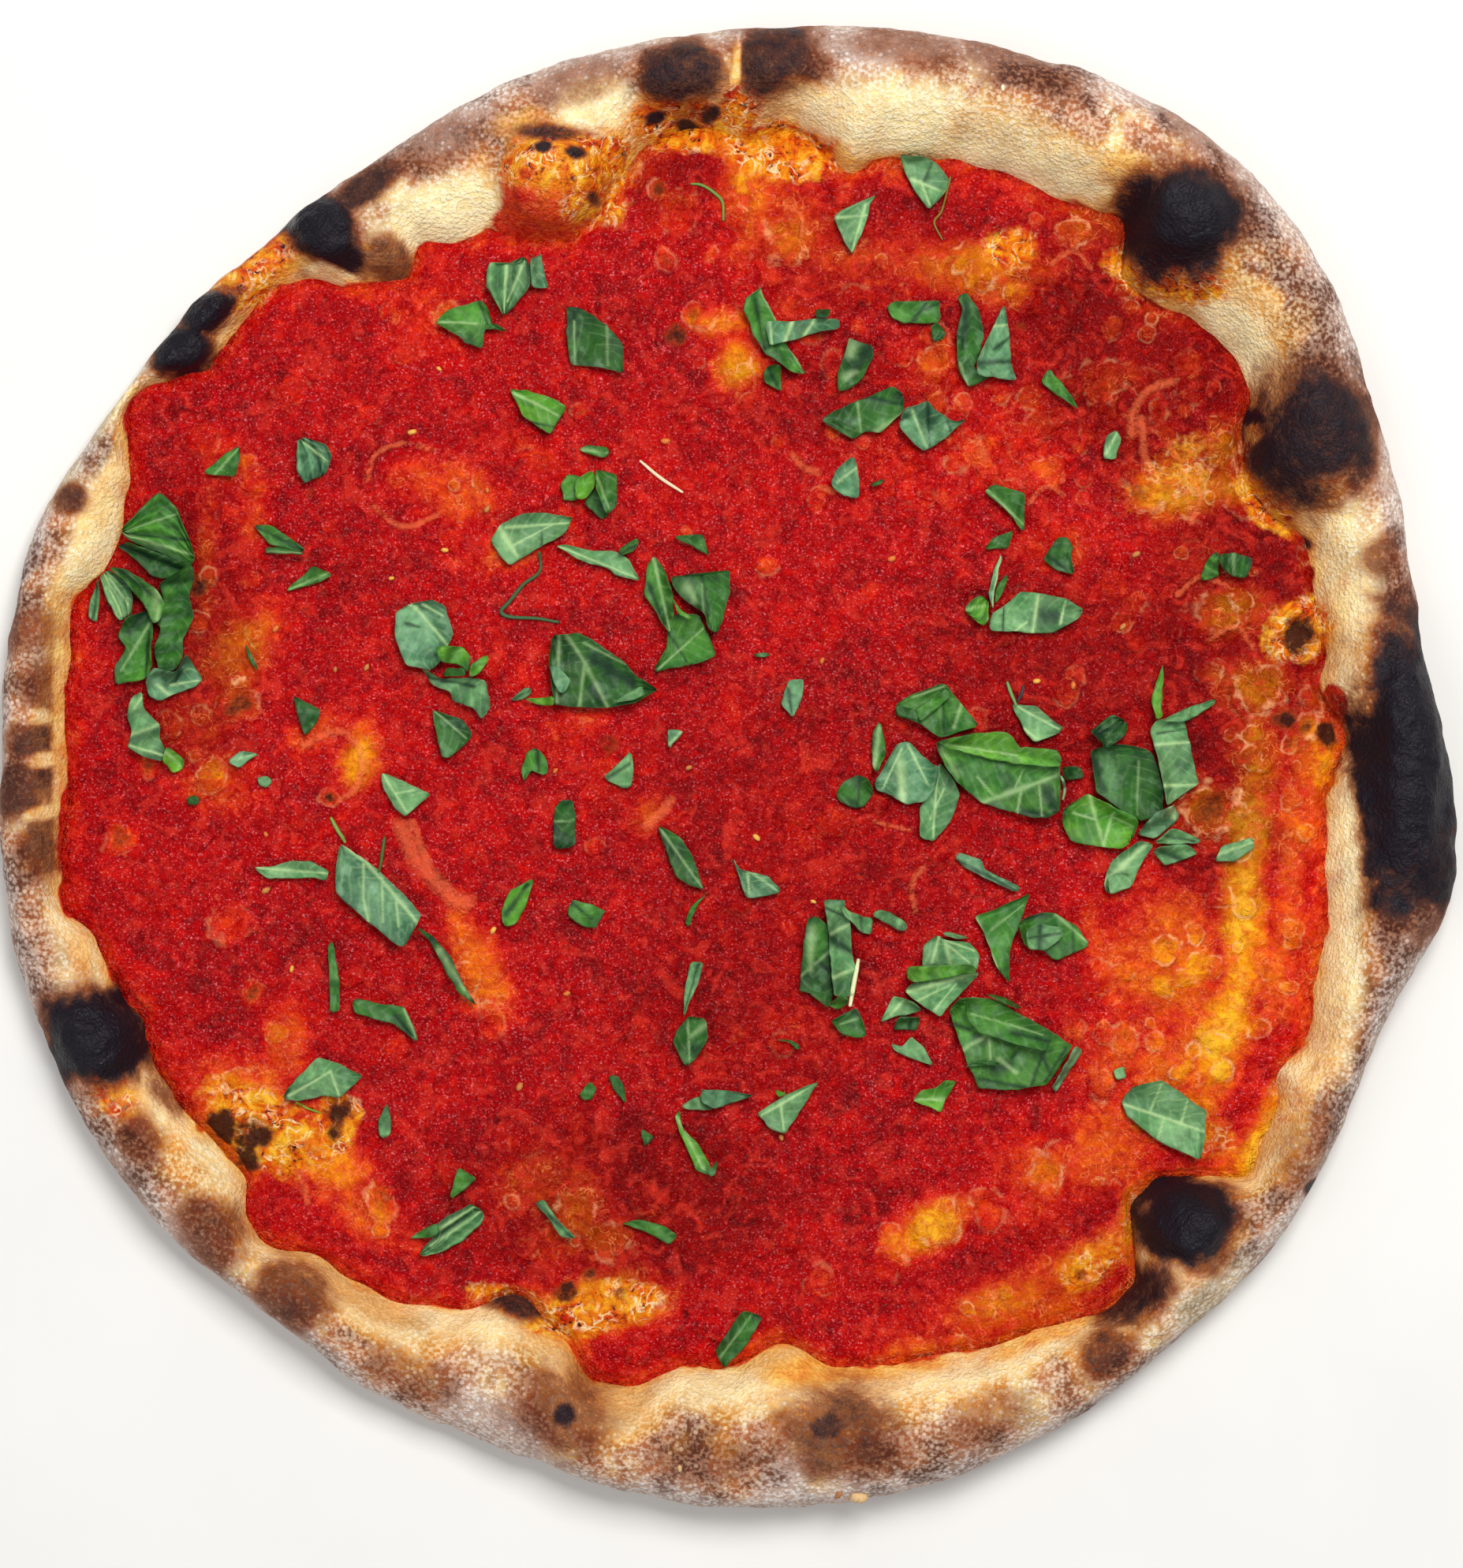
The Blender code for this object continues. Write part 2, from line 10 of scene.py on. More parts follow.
import bpy
import numpy as np
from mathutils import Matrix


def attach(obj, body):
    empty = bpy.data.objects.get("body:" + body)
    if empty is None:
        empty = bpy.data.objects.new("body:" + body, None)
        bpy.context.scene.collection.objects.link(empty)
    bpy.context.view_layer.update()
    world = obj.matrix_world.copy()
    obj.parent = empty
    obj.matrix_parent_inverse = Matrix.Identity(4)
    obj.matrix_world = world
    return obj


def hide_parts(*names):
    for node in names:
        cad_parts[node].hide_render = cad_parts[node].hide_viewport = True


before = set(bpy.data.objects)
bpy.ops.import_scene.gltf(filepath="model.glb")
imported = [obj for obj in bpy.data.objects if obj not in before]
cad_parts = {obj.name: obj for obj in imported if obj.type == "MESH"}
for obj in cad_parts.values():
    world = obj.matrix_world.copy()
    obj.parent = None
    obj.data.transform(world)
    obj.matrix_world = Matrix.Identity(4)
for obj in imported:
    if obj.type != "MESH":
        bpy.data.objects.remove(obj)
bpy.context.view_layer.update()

MM = 0.001
PHOTO_WIDTH = 1855
PHOTO_HEIGHT = 1988
MM_PER_PIXEL = 0.1732
CENTRE_PIXEL = (924.0, 972.5)

# ---------------------------------------------------------------- the pizza's measures

# Outer radius at even steps, counter-clockwise from +X.
OUTLINE_RADII = (
    158.6, 155.4, 158.5, 163.5, 170.6, 174.4, 172.9, 169.2, 165.6, 162.6, 160.4, 158, 155.5, 154.7, 156.2,
    157.3, 161.9, 161.5, 160.6, 162.1, 162.5, 162.1, 160.8, 157.8, 158.6, 158.3, 160.5, 163.2, 164, 163.5,
    161.9, 160.2, 159.4, 156.2, 155.6, 161.6,
)

# Where the sauce meets the rim: angle in degrees and radius.
SAUCE_EDGE = (
    (2.7, 135.8), (8.2, 130.9), (10.9, 134.4), (15.4, 134.9), (22, 136.4), (25.3, 131), (29.1, 129.8),
    (33.4, 135.2), (35.3, 141.5), (39.2, 143.7), (43.5, 142.3), (47.7, 138.1), (51.3, 138), (54.1, 148.9),
    (57.5, 146.3), (60.3, 144.4), (64.5, 144.8), (68.6, 143.1), (75.4, 138.2), (78.9, 133.2), (81, 138),
    (84.7, 141.3), (87.4, 138.2), (93.8, 141), (98.1, 138), (100, 132), (104, 124), (107, 121), (110, 124),
    (114.9, 130), (116.9, 129.7), (120.6, 134.2), (123.2, 128.9), (127.8, 133.8), (130.8, 142.5),
    (134.5, 146), (138.4, 145.3), (142.8, 144.2), (144.6, 148.6), (147.1, 153.5), (149.7, 153.5),
    (152.2, 149.6), (154, 146.2), (159.3, 143.9), (161.9, 144), (166.5, 149.1), (170.7, 147.3),
    (181.3, 145.7), (188.6, 148.9), (191.9, 149.4), (195.1, 144.3), (200.8, 143), (203, 140.1),
    (207.3, 142.7), (211.4, 142.2), (216, 140.4), (218.7, 139.5), (220.9, 140.3), (222.6, 145),
    (225.4, 146.4), (230.8, 140.5), (237.3, 139), (243.1, 133.9), (248.4, 125.3), (253.8, 130),
    (258.1, 138.3), (260, 138.3), (266.6, 132.1), (269.3, 132.8), (275.2, 127.4), (280.9, 134.8),
    (287.4, 137.1), (297.7, 141.1), (305.6, 145.4), (308.5, 144.6), (310, 138.1), (312.9, 130.6),
    (316, 130.5), (318.7, 136), (321.7, 145.2), (324.9, 143.3), (328.4, 141.5), (331.1, 138.6),
    (334.5, 140.4), (340.8, 137), (345.6, 136.4), (351.1, 133.1), (357.4, 131.6),
)

# Height of the rim's top: angle in degrees and height.
RIM_HEIGHTS = (
    (0, 18.5), (18, 15), (32, 18), (52, 20), (74, 18), (90, 15.5), (108, 14.5), (122, 11.5), (131, 9),
    (142, 9), (152, 10.5), (168, 12.5), (200, 13.5), (240, 15), (262, 18), (288, 19), (305, 16),
    (333, 15.5), (349, 18),
)
FLOOR_HEIGHT = 2.6          # thickness of the dough under the sauce
EQUATOR_SHARE = 0.315       # height of the widest place, as a share of the rim's rise
CREST_PLACE = 0.54          # place of the crest across the rim: 0 at the sauce, 1 outside
FLAT_PLACE = 0.68           # place across the rim where the flat underside begins
SAUCE_LEVEL = 4.6           # mean height of the sauce's top

# Bubbles on the rim: x, y, half length, half width, turn in degrees, rise.
BLISTERS = (
    (-89, 118, 11, 8, -50, 5), (-76, 112, 7, 6, -50, 2.5), (-115, 100, 7, 5.5, 30, 3.5),
    (-120, 91, 8, 6.5, 0, 3.5), (-139, -59, 11, 10.5, 0, 4), (100, -99, 11, 9, -20, 5),
    (99, 120, 12, 11, 0, 5), (128, 72, 16, 14, 60, 3), (149, 2, 30, 9, 88, 3.5), (155, -20, 6, 6, 0, 2),
    (11, 155, 9, 9, 0, 2.5), (-11, 151, 10, 9, 0, 3), (-38, 127, 14, 12, 10, 7.5),
    (-105, -81, 10, 8, 40, 2), (100, -112, 9, 6, 45, 2),
)

# Char and scorch on the dough: x, y, half length, half width, turn, depth of colour.
CHARS = (
    (-89, 118, 10.5, 7, -50, 1), (-75, 111.5, 5.5, 4.5, -50, 0.55), (-114.8, 99.7, 6.5, 4.5, 30, 0.95),
    (-119.8, 91.5, 6.8, 5.5, 0, 1), (-139.3, -59.3, 10.5, 10, 0, 1), (99.8, -98.6, 11, 9, -20, 1),
    (98.5, 118.8, 12.9, 11.3, 20, 1), (128.3, 72.5, 15, 13, 70, 0.8), (117.5, 68.5, 2.4, 4.6, 0, 0.9),
    (149.5, 0, 32, 14, 88, 1), (154, -22, 12, 8, 80, 0.85), (10.6, 154.8, 10, 9, 0, 0.7),
    (-11, 151.6, 10.5, 7.2, 5, 0.73), (-81, 126.3, 10, 3.6, 35, 0.7), (-144.6, 59, 3.6, 3.2, 0, 0.6),
    (-150, 17.8, 6, 5, 90, 0.5), (-151.4, 2.2, 9, 6, 90, 0.62), (-155.7, -6, 7, 5, 90, 0.6),
    (-150.5, -17, 8, 5, 90, 0.58), (-129, -81, 6, 4.5, -60, 0.5), (-113.6, -101.9, 9, 6, -48, 0.5),
    (-95.1, -115.8, 9, 6, -40, 0.56), (-37.1, -141, 11, 8.5, -15, 0.5), (-36, -141, 3.4, 3, 0, 0.8),
    (23.2, -145.4, 13, 9, 5, 0.58), (21, -144, 4.5, 3.4, 0, 0.7), (82.3, -128.3, 7, 4.5, 40, 0.6),
    (126, -84, 9, 5, 60, 0.32), (88.9, -116, 9, 5, 40, 0.75), (128.9, -92.4, 2.4, 2, 0, 0.9),
    (142.4, 46.3, 5, 4, 80, 0.5), (-63, 137, 12, 5, 25, 0.35), (-31.9, 150, 10, 4.5, 15, 0.38),
    (63, 153, 13, 5, -18, 0.42), (40, 157, 14, 4.5, -10, 0.4), (132, 24, 3, 3, 0, 0.2),
    (-46, -118.5, 9, 2.6, -15, 0.7), (-104.6, -81, 4, 3, 20, 0.8), (-112, -79.4, 2, 2, 0, 0.85),
    (-97, -84, 2.5, 1.6, 30, 0.6), (-124, -70, 7, 3, -60, 0.45), (114, 77.5, 1.5, 4, 70, 0.95),
    (115.4, 58.5, 1.6, 3, 60, 0.9), (125.8, 50.5, 1.2, 3, 60, 0.8), (-40.4, 134.8, 1.5, 1.2, 0, 0.9),
    (-33.3, 133.6, 2, 1.4, 0, 0.85), (-38.8, 138.6, 7.5, 1.7, -5, 0.66), (-29.6, 124.6, 1.3, 1.2, 0, 0.7),
    (-16, 142.6, 2.4, 1.4, 20, 0.85), (-9, 141, 3, 1.4, -20, 0.85), (-4, 143.6, 2, 1.4, 30, 0.8),
    (-9.5, 137.4, 1.6, 1.3, 0, 0.85), (147, 100, 5, 3, -50, 0.2), (150, -60, 12, 5, 70, 0.35),
    (120, -112, 8, 4, 45, 0.4), (-154, 30, 5, 8, 90, 0.4), (-134, -92, 8, 5, -60, 0.22),
    (56, -142, 9, 5, 20, 0.35), (-4, -150, 12, 5, 0, 0.3), (-70, -133, 10, 5, -25, 0.3),
    (146, 84, 5, 9, -20, 0.3), (100, 140, 8, 4, -40, 0.3),
)

# Spots, rings and bubbles that show in the sauce: x, y, radius, charring at the middle.
SAUCE_RINGS = (
    (-96.8, 82.7, 4, 0.1), (-108.1, 14.3, 5, 0.7), (-128.3, 0.1, 3.5, 0.6), (-114.1, -1.3, 3.5, 0.3),
    (-134.9, -15.2, 4, 0.55), (-110.7, -34.2, 5.5, 0.2), (-104.6, -50.1, 3.5, 0.6), (-76.6, -95.7, 5, 0.45),
    (-33.6, -98.3, 6, 0.25), (-27, -104, 5, 0.1), (69.5, -89.6, 5, 0.25), (57.3, -97.4, 5, 0.1),
    (106.7, -9.1, 7, 0.6), (96.3, -40.3, 4, 0.2), (103.2, -43.7, 3, 0.3), (87.6, -60.2, 3.5, 0.1),
    (94.2, -60.5, 2.5, 0.1), (117.1, -57.6, 3, 0.35), (89.4, 35.9, 3.5, 0.1), (107.6, 34.2, 6, 0.15),
    (105.8, 21.2, 3.5, 0.3), (117.1, 17.8, 6, 0.1), (70.3, 64.5, 4.5, 0.2), (82.4, 85.3, 6, 0.25),
    (101.5, 87.9, 4.5, 0.1), (46.1, 90.5, 5, 0.3), (13.2, 116.5, 6, 0.2), (-11.1, 122.5, 5.5, 0.2),
    (-16, 127.5, 2.6, 0.75), (-32.7, 78.4, 2.5, 0.5), (-88.2, -7, 2.5, 0.85), (125.2, 29.2, 6.5, 0.9),
    (-14, 112, 3, 0.6), (61, 112, 3, 0.1), (76, 118, 4, 0.3), (-8, 100, 3, 0.55), (-52, -57, 4, 0.1),
    (128, 9, 3.5, 0.75), (123.5, 5, 2.5, 0.6), (114, 60, 5, 0.2), (92, 60, 5, 0.15), (88, -95, 3, 0.3),
    (79, -111, 4, 0.2), (35, -110, 5, 0.05), (46, -100, 6, 0.1), (20, -113, 4, 0.05), (-62, 100, 3, 0.05),
)

# Places where oil and dough show through as orange or yellow: x, y, half length, half width, turn, heat.
OIL_ZONES = (
    (-108, 26, 9, 6, 60, 0.75), (-105, 53, 8, 3, 75, 0.4), (-97.5, -59.5, 8, 4, 88, 0.5),
    (-54.5, -44.5, 12, 4.4, -65, 0.75), (-87, -87, 10, 6, -35, 0.95), (-104, -78, 13, 8, -35, 1),
    (44, -102, 9, 5, 25, 1), (96, -45, 14, 15, 0, 0.75), (98, -66, 13, 8, 50, 0.75),
    (85, -62, 10, 9, 0, 0.5), (83, -84, 13, 8, 30, 0.62), (53, 109.6, 14, 5.5, -8, 0.75),
    (1.9, 89.5, 4.6, 6, 0, 1.15), (-1, 98, 8, 3, 0, 0.8), (4, 130, 14, 6, 95, 0.9),
    (114.5, -24, 32, 5, 86, 1.3), (108.5, -60, 18, 5.5, 72, 1.25), (116.5, 18, 7, 6.5, 0, 0.75),
    (112.8, 34, 6.5, 6, 0, 0.8), (101.5, 61.5, 10, 5, 10, 1.1), (108.5, 71, 7, 4, 80, 0.85),
    (116, 2, 9, 6, 85, 0.75), (123.5, -25, 24, 4.6, 88, 0.62), (100, 76, 12, 10, 0, 0.1),
    (-81.5, 2.5, 3.6, 8, -10, 0.95), (-91, 8, 7, 4, 30, 0.5), (-62, 60, 9, 6, -30, 0.45),
    (-66, 100, 9, 5, 45, 0.35), (-44, 70, 6, 3, -30, 0.3), (30, 112, 18, 8, 0, 0.4),
    (13, 119, 12, 8, 0, 0.6), (60, 70, 12, 10, 20, 0.2), (84, 84, 10, 8, 0, 0.15), (106, 42, 10, 7, 0, 0.2),
    (-38, -92, 11, 8, 0, 0.45), (-28, -119, 13, 6, 10, 1.1), (-33, -104, 10, 7, 0, 0.45),
    (80, -109, 12, 4.5, 40, 1), (70, -90, 12, 9, 40, 0.5), (60, -118, 18, 4.5, 22, 0.7),
    (118, -86, 12, 6, 60, 0.9), (104, -8, 10, 8, 0, 0.45), (-112, -3, 8, 7, 0, 0.5),
    (-118, 8, 10, 6, 80, 0.4), (129, 2, 9, 5, 90, 0.7), (-36, 133, 12, 6, 0, 0.9), (-36, 8, 9, 4, 20, 0.3),
    (-48, 47, 9, 4, 10, 0.5), (42, 65, 10, 6, 0, 0.25), (73, 50, 8, 6, 0, 0.3),
    (-78, -100, 10, 5, -35, 0.6), (46, 88, 9, 7, 0, 0.35), (80, 118, 9, 6, -20, 0.3),
    (92, 100, 7, 6, 0, 0.15), (-115.5, 44.5, 14, 2.6, 88, 0.5), (-36, 141, 12, 4, 5, 0.8),
    (-140, 65, 6, 4, 60, 0.2), (-18, -10, 7, 3, 45, 0.45), (-110, 68, 6, 5, 0, 0.3),
    (121, -50, 8, 5, 80, 0.7), (-12, -97, 8, 6, 0, 0.2), (14, 100, 7, 5, 0, 0.3),
)

# Plain pale dough near the sauce: x, y, half length, half width, turn, strength.
PALE_ZONES = (
    (-29.6, 143.8, 9, 6, 10, 1), (-63.6, 121, 14, 7, 20, 1), (65, 134, 20, 7, -22, 0.88),
    (34, 142, 20, 7.5, -5, 1), (-86, 107.5, 9, 2.6, -27, 1), (14, 139.6, 11, 1.4, -5, 1),
    (134.6, -28, 34, 4.2, 89, 1), (137, 42, 12, 6, 88, 0.85), (-135, 80, 10, 4, 58, 0.5),
    (-4.2, -136, 12, 4, 3, 0.6), (-78, -108, 12, 5, -35, 0.9), (-118, -78, 12, 4, -60, 0.6),
    (135, 45, 14, 6, 75, 0.6), (112.5, 93.5, 14, 4.5, -52, 0.9), (126, -62, 16, 6, 70, 0.6),
    (58, -128, 22, 6, 22, 0.65), (30, -134, 14, 5, 8, 0.42), (-140, 48, 20, 5, 72, 0.8),
    (-146, -10, 40, 4.5, 92, 0.6), (-128, -72, 8, 5, -45, 0.7), (-62, -118, 16, 6, -28, 0.7),
    (104, -116, 12, 5, 40, 0.4), (133, 14, 12, 5, 90, 0.45), (20, 141, 8, 6, 0, 0.3),
    (-147, 62, 6, 4, 60, 0.4),
)

# Scorch marks on the sauce: x, y, radius, strength.
SCORCH_MARKS = (
    (-116.7, 39.4, 2.6, 0.8), (-112, -79.4, 4, 1), (-104.5, -81, 4.5, 1), (-106.5, -86.5, 3.4, 0.9),
    (-86.6, -76.4, 3.6, 0.85), (-87.5, -80.5, 2.2, 0.8), (132, 7.4, 3.2, 1), (123.3, 10.5, 3.4, 1),
    (-25.8, 4.8, 3, 0.45), (-11.5, 95.5, 2.6, 0.75), (126.3, 29.8, 4.6, 1), (20, 95, 1.6, 0.5),
    (-31, -112, 2, 0.7), (-36, -115.5, 2.6, 0.8), (-24, -116, 1.6, 0.6), (77.6, -112, 1.6, 0.6),
    (-92.6, 60.6, 1.4, 0.5), (64.4, 97.2, 1.4, 0.5), (-130.6, 38.5, 1.8, 0.4), (90.2, 60.9, 2, 0.5),
)

# Dough stained yellow and orange by oil and sauce: x, y, half length, half width, turn, strength.
STAIN_ZONES = (
    (96, 108, 12, 4.5, -18, 1), (117, 60, 11, 4, -50, 1), (114.6, 71, 9, 2.6, 82, 1),
    (-103, 110, 15, 6, 38, 1.1), (-100, 114, 9, 4, 40, 1.1), (-94, 104, 9, 3.5, 30, 0.7),
    (-133, -71, 9, 4, -60, 0.7), (-9.5, 142, 11, 5, 0, 1), (1.5, 150, 1.6, 9, 0, 0.8),
    (14, 135.5, 12, 5, -8, 0.9), (1, 138, 6, 6, 0, 0.9), (-147, 12, 26, 3, 90, 0.8),
    (-143, -32, 20, 2.5, 94, 0.55), (133, -30, 40, 2.2, 88, 0.45), (128, -66, 20, 2.4, 70, 0.5),
    (30, -131.5, 22, 3.4, 6, 1), (74, -122, 18, 3, 25, 0.9), (-28, -120, 13, 5, 10, 1),
    (-48, -117, 12, 3, -15, 0.6), (-70, -108, 14, 3, -32, 0.4), (-38, 141, 14, 4, 5, 0.7),
    (-24, 137, 5, 10, -20, 0.7), (-56, 128, 4, 9, -25, 0.5), (126, 44, 8, 4, 70, 0.7),
    (133, 33, 10, 3.5, 80, 0.5), (130, 20, 14, 3, 85, 0.6), (72, 137, 10, 3, -25, 0.5),
    (86, 128, 8, 5, -40, 0.8), (106, -106, 10, 4, 40, 0.6), (-124, 78, 12, 5, 55, 1),
    (-138, 58, 10, 3, 65, 0.5), (-150, 2, 6, 4, 90, 0.5), (-150, -10, 5, 3, 90, 0.5),
)

# Scorched webs of burst bubbles, orange with pale threads and char: x, y, half length, half width, turn,
# strength.
WEB_ZONES = (
    (-36, 133, 13, 7, 0, 1), (-30, 126, 7, 7, 0, 0.7), (-9.5, 141.5, 11, 4.5, 0, 1),
    (2, 144, 5, 5, 20, 0.8), (13.5, 136, 13, 5.5, -8, 1), (-104, -79, 14, 8, -35, 1),
    (-86, -78, 5, 6, -10, 0.8), (-28, -119.5, 14, 5, 12, 1), (-48, -117.5, 9, 3, -12, 0.7),
    (96, 108, 12, 4.5, -20, 1), (119, 58, 9, 4, -50, 0.9), (-104, 109, 13, 4.5, 38, 0.9),
    (62, 114, 6, 5, 0, 0.8), (98.5, 65, 12, 6, 30, 0.5), (125.5, 29.5, 8, 7.5, 0, 0.8),
    (80, -110, 8, 4, 30, 0.6), (-134, -72, 8, 4, -60, 0.7), (106, -82, 6, 5, 0, 0.5),
    (122, -74, 6, 4, 60, 0.5),
)

# Places where the sauce is painted darker, partly its own deeper red and partly painted shade: x, y, half
# length, half width, turn, strength.
DEEP_RED_AND_SHADE_ZONES = (
    (98, 90, 44, 24, -44, 1), (114, 32, 36, 20, 84, 1), (44, 112, 36, 16, -6, 0.55),
    (110, -4, 24, 12, 88, 1), (20, -14, 34, 26, 0, 0.45), (-24, -96, 32, 16, 0, 0.9),
    (72, -112, 30, 12, 24, 0.35), (-120, 30, 14, 26, 0, 0.9), (24, 82, 24, 12, 0, 0.5),
    (80, 20, 28, 20, 0, 0.75), (6, -50, 26, 20, 0, 0.55), (56, 100, 24, 12, 0, 0.5),
    (-12, 130, 11, 8, 0, 0.8),
)

# Creases that char doesn't reach: x, y, half length, half width, turn, strength.
CREASES = (
    (1.4, 150, 11, 0.8, 84, 1), (133.6, -23, 21, 4.4, 88, 1), (-86, 107.5, 9, 2.2, -27, 1),
    (24, 143, 12, 5, -10, 0.8), (2, 142, 4, 2.6, 90, 0.8), (-147, 4, 28, 1.8, 90, 0.9),
    (-150, 1.5, 5, 1.7, 10, 0.9), (-153, 11, 6, 1.5, 0, 0.7), (-150, -10, 5, 1.5, 10, 0.8),
)

# Sauce on the dough beyond its edge: x, y, half length, half width, turn, strength.
SAUCED_ZONES = (
    (-37.5, 127, 14, 12, 10, 1), (-37, 119, 18, 7.5, 0, 1), (115.5, 64, 2, 9, 8, 0.9),
    (-124, 88, 4, 3, 40, 0.5), (133, 12, 3.4, 7, 0, 1),
)

# Thin pale skins of tomato and burst bubbles on the sauce: points on the way, then half the width.
SKINS = (
    (((88.5, 73), (89.5, 79), (93, 83.5), (98, 85)), 0.8), (((91, 77), (92, 68), (95, 64)), 0.8),
    (((97, 71), (100, 66), (104, 60), (102, 54)), 0.7),
    (((-72.5, -13), (-69, -20), (-62, -28), (-58, -30)), 1.6),
    (((-18, -13), (-14.5, -9.5), (-13, -7.5)), 1), (((41, -32), (40.5, -26), (43, -22)), 0.6),
    (((14, 69), (17, 66), (20, 65)), 0.7), (((20, 62), (23, 61)), 0.6),
    (((12.5, 124), (16, 122), (16, 117)), 0.5), (((-80, 63), (-78, 69), (-72, 71.5), (-65, 70)), 0.5),
    (((-79, 58), (-72, 53), (-64, 56)), 0.6),
    (((-93.5, 5), (-86, 8), (-81, 3), (-82, -4), (-86, -7.5)), 0.7), (((54.5, 73), (57, 68)), 0.6),
    (((71, 111), (76, 114), (80, 110)), 0.5), (((106, 28), (112, 31), (116, 26)), 0.5),
    (((-100, -86), (-95, -90), (-93, -96)), 0.7), (((99, 38), (104, 42), (110, 40)), 0.5),
    (((66, 58), (70, 62), (74, 60)), 0.5), (((-66, -22), (-70, -12)), 0.7), (((32, -12), (40, -14)), 0.4),
)
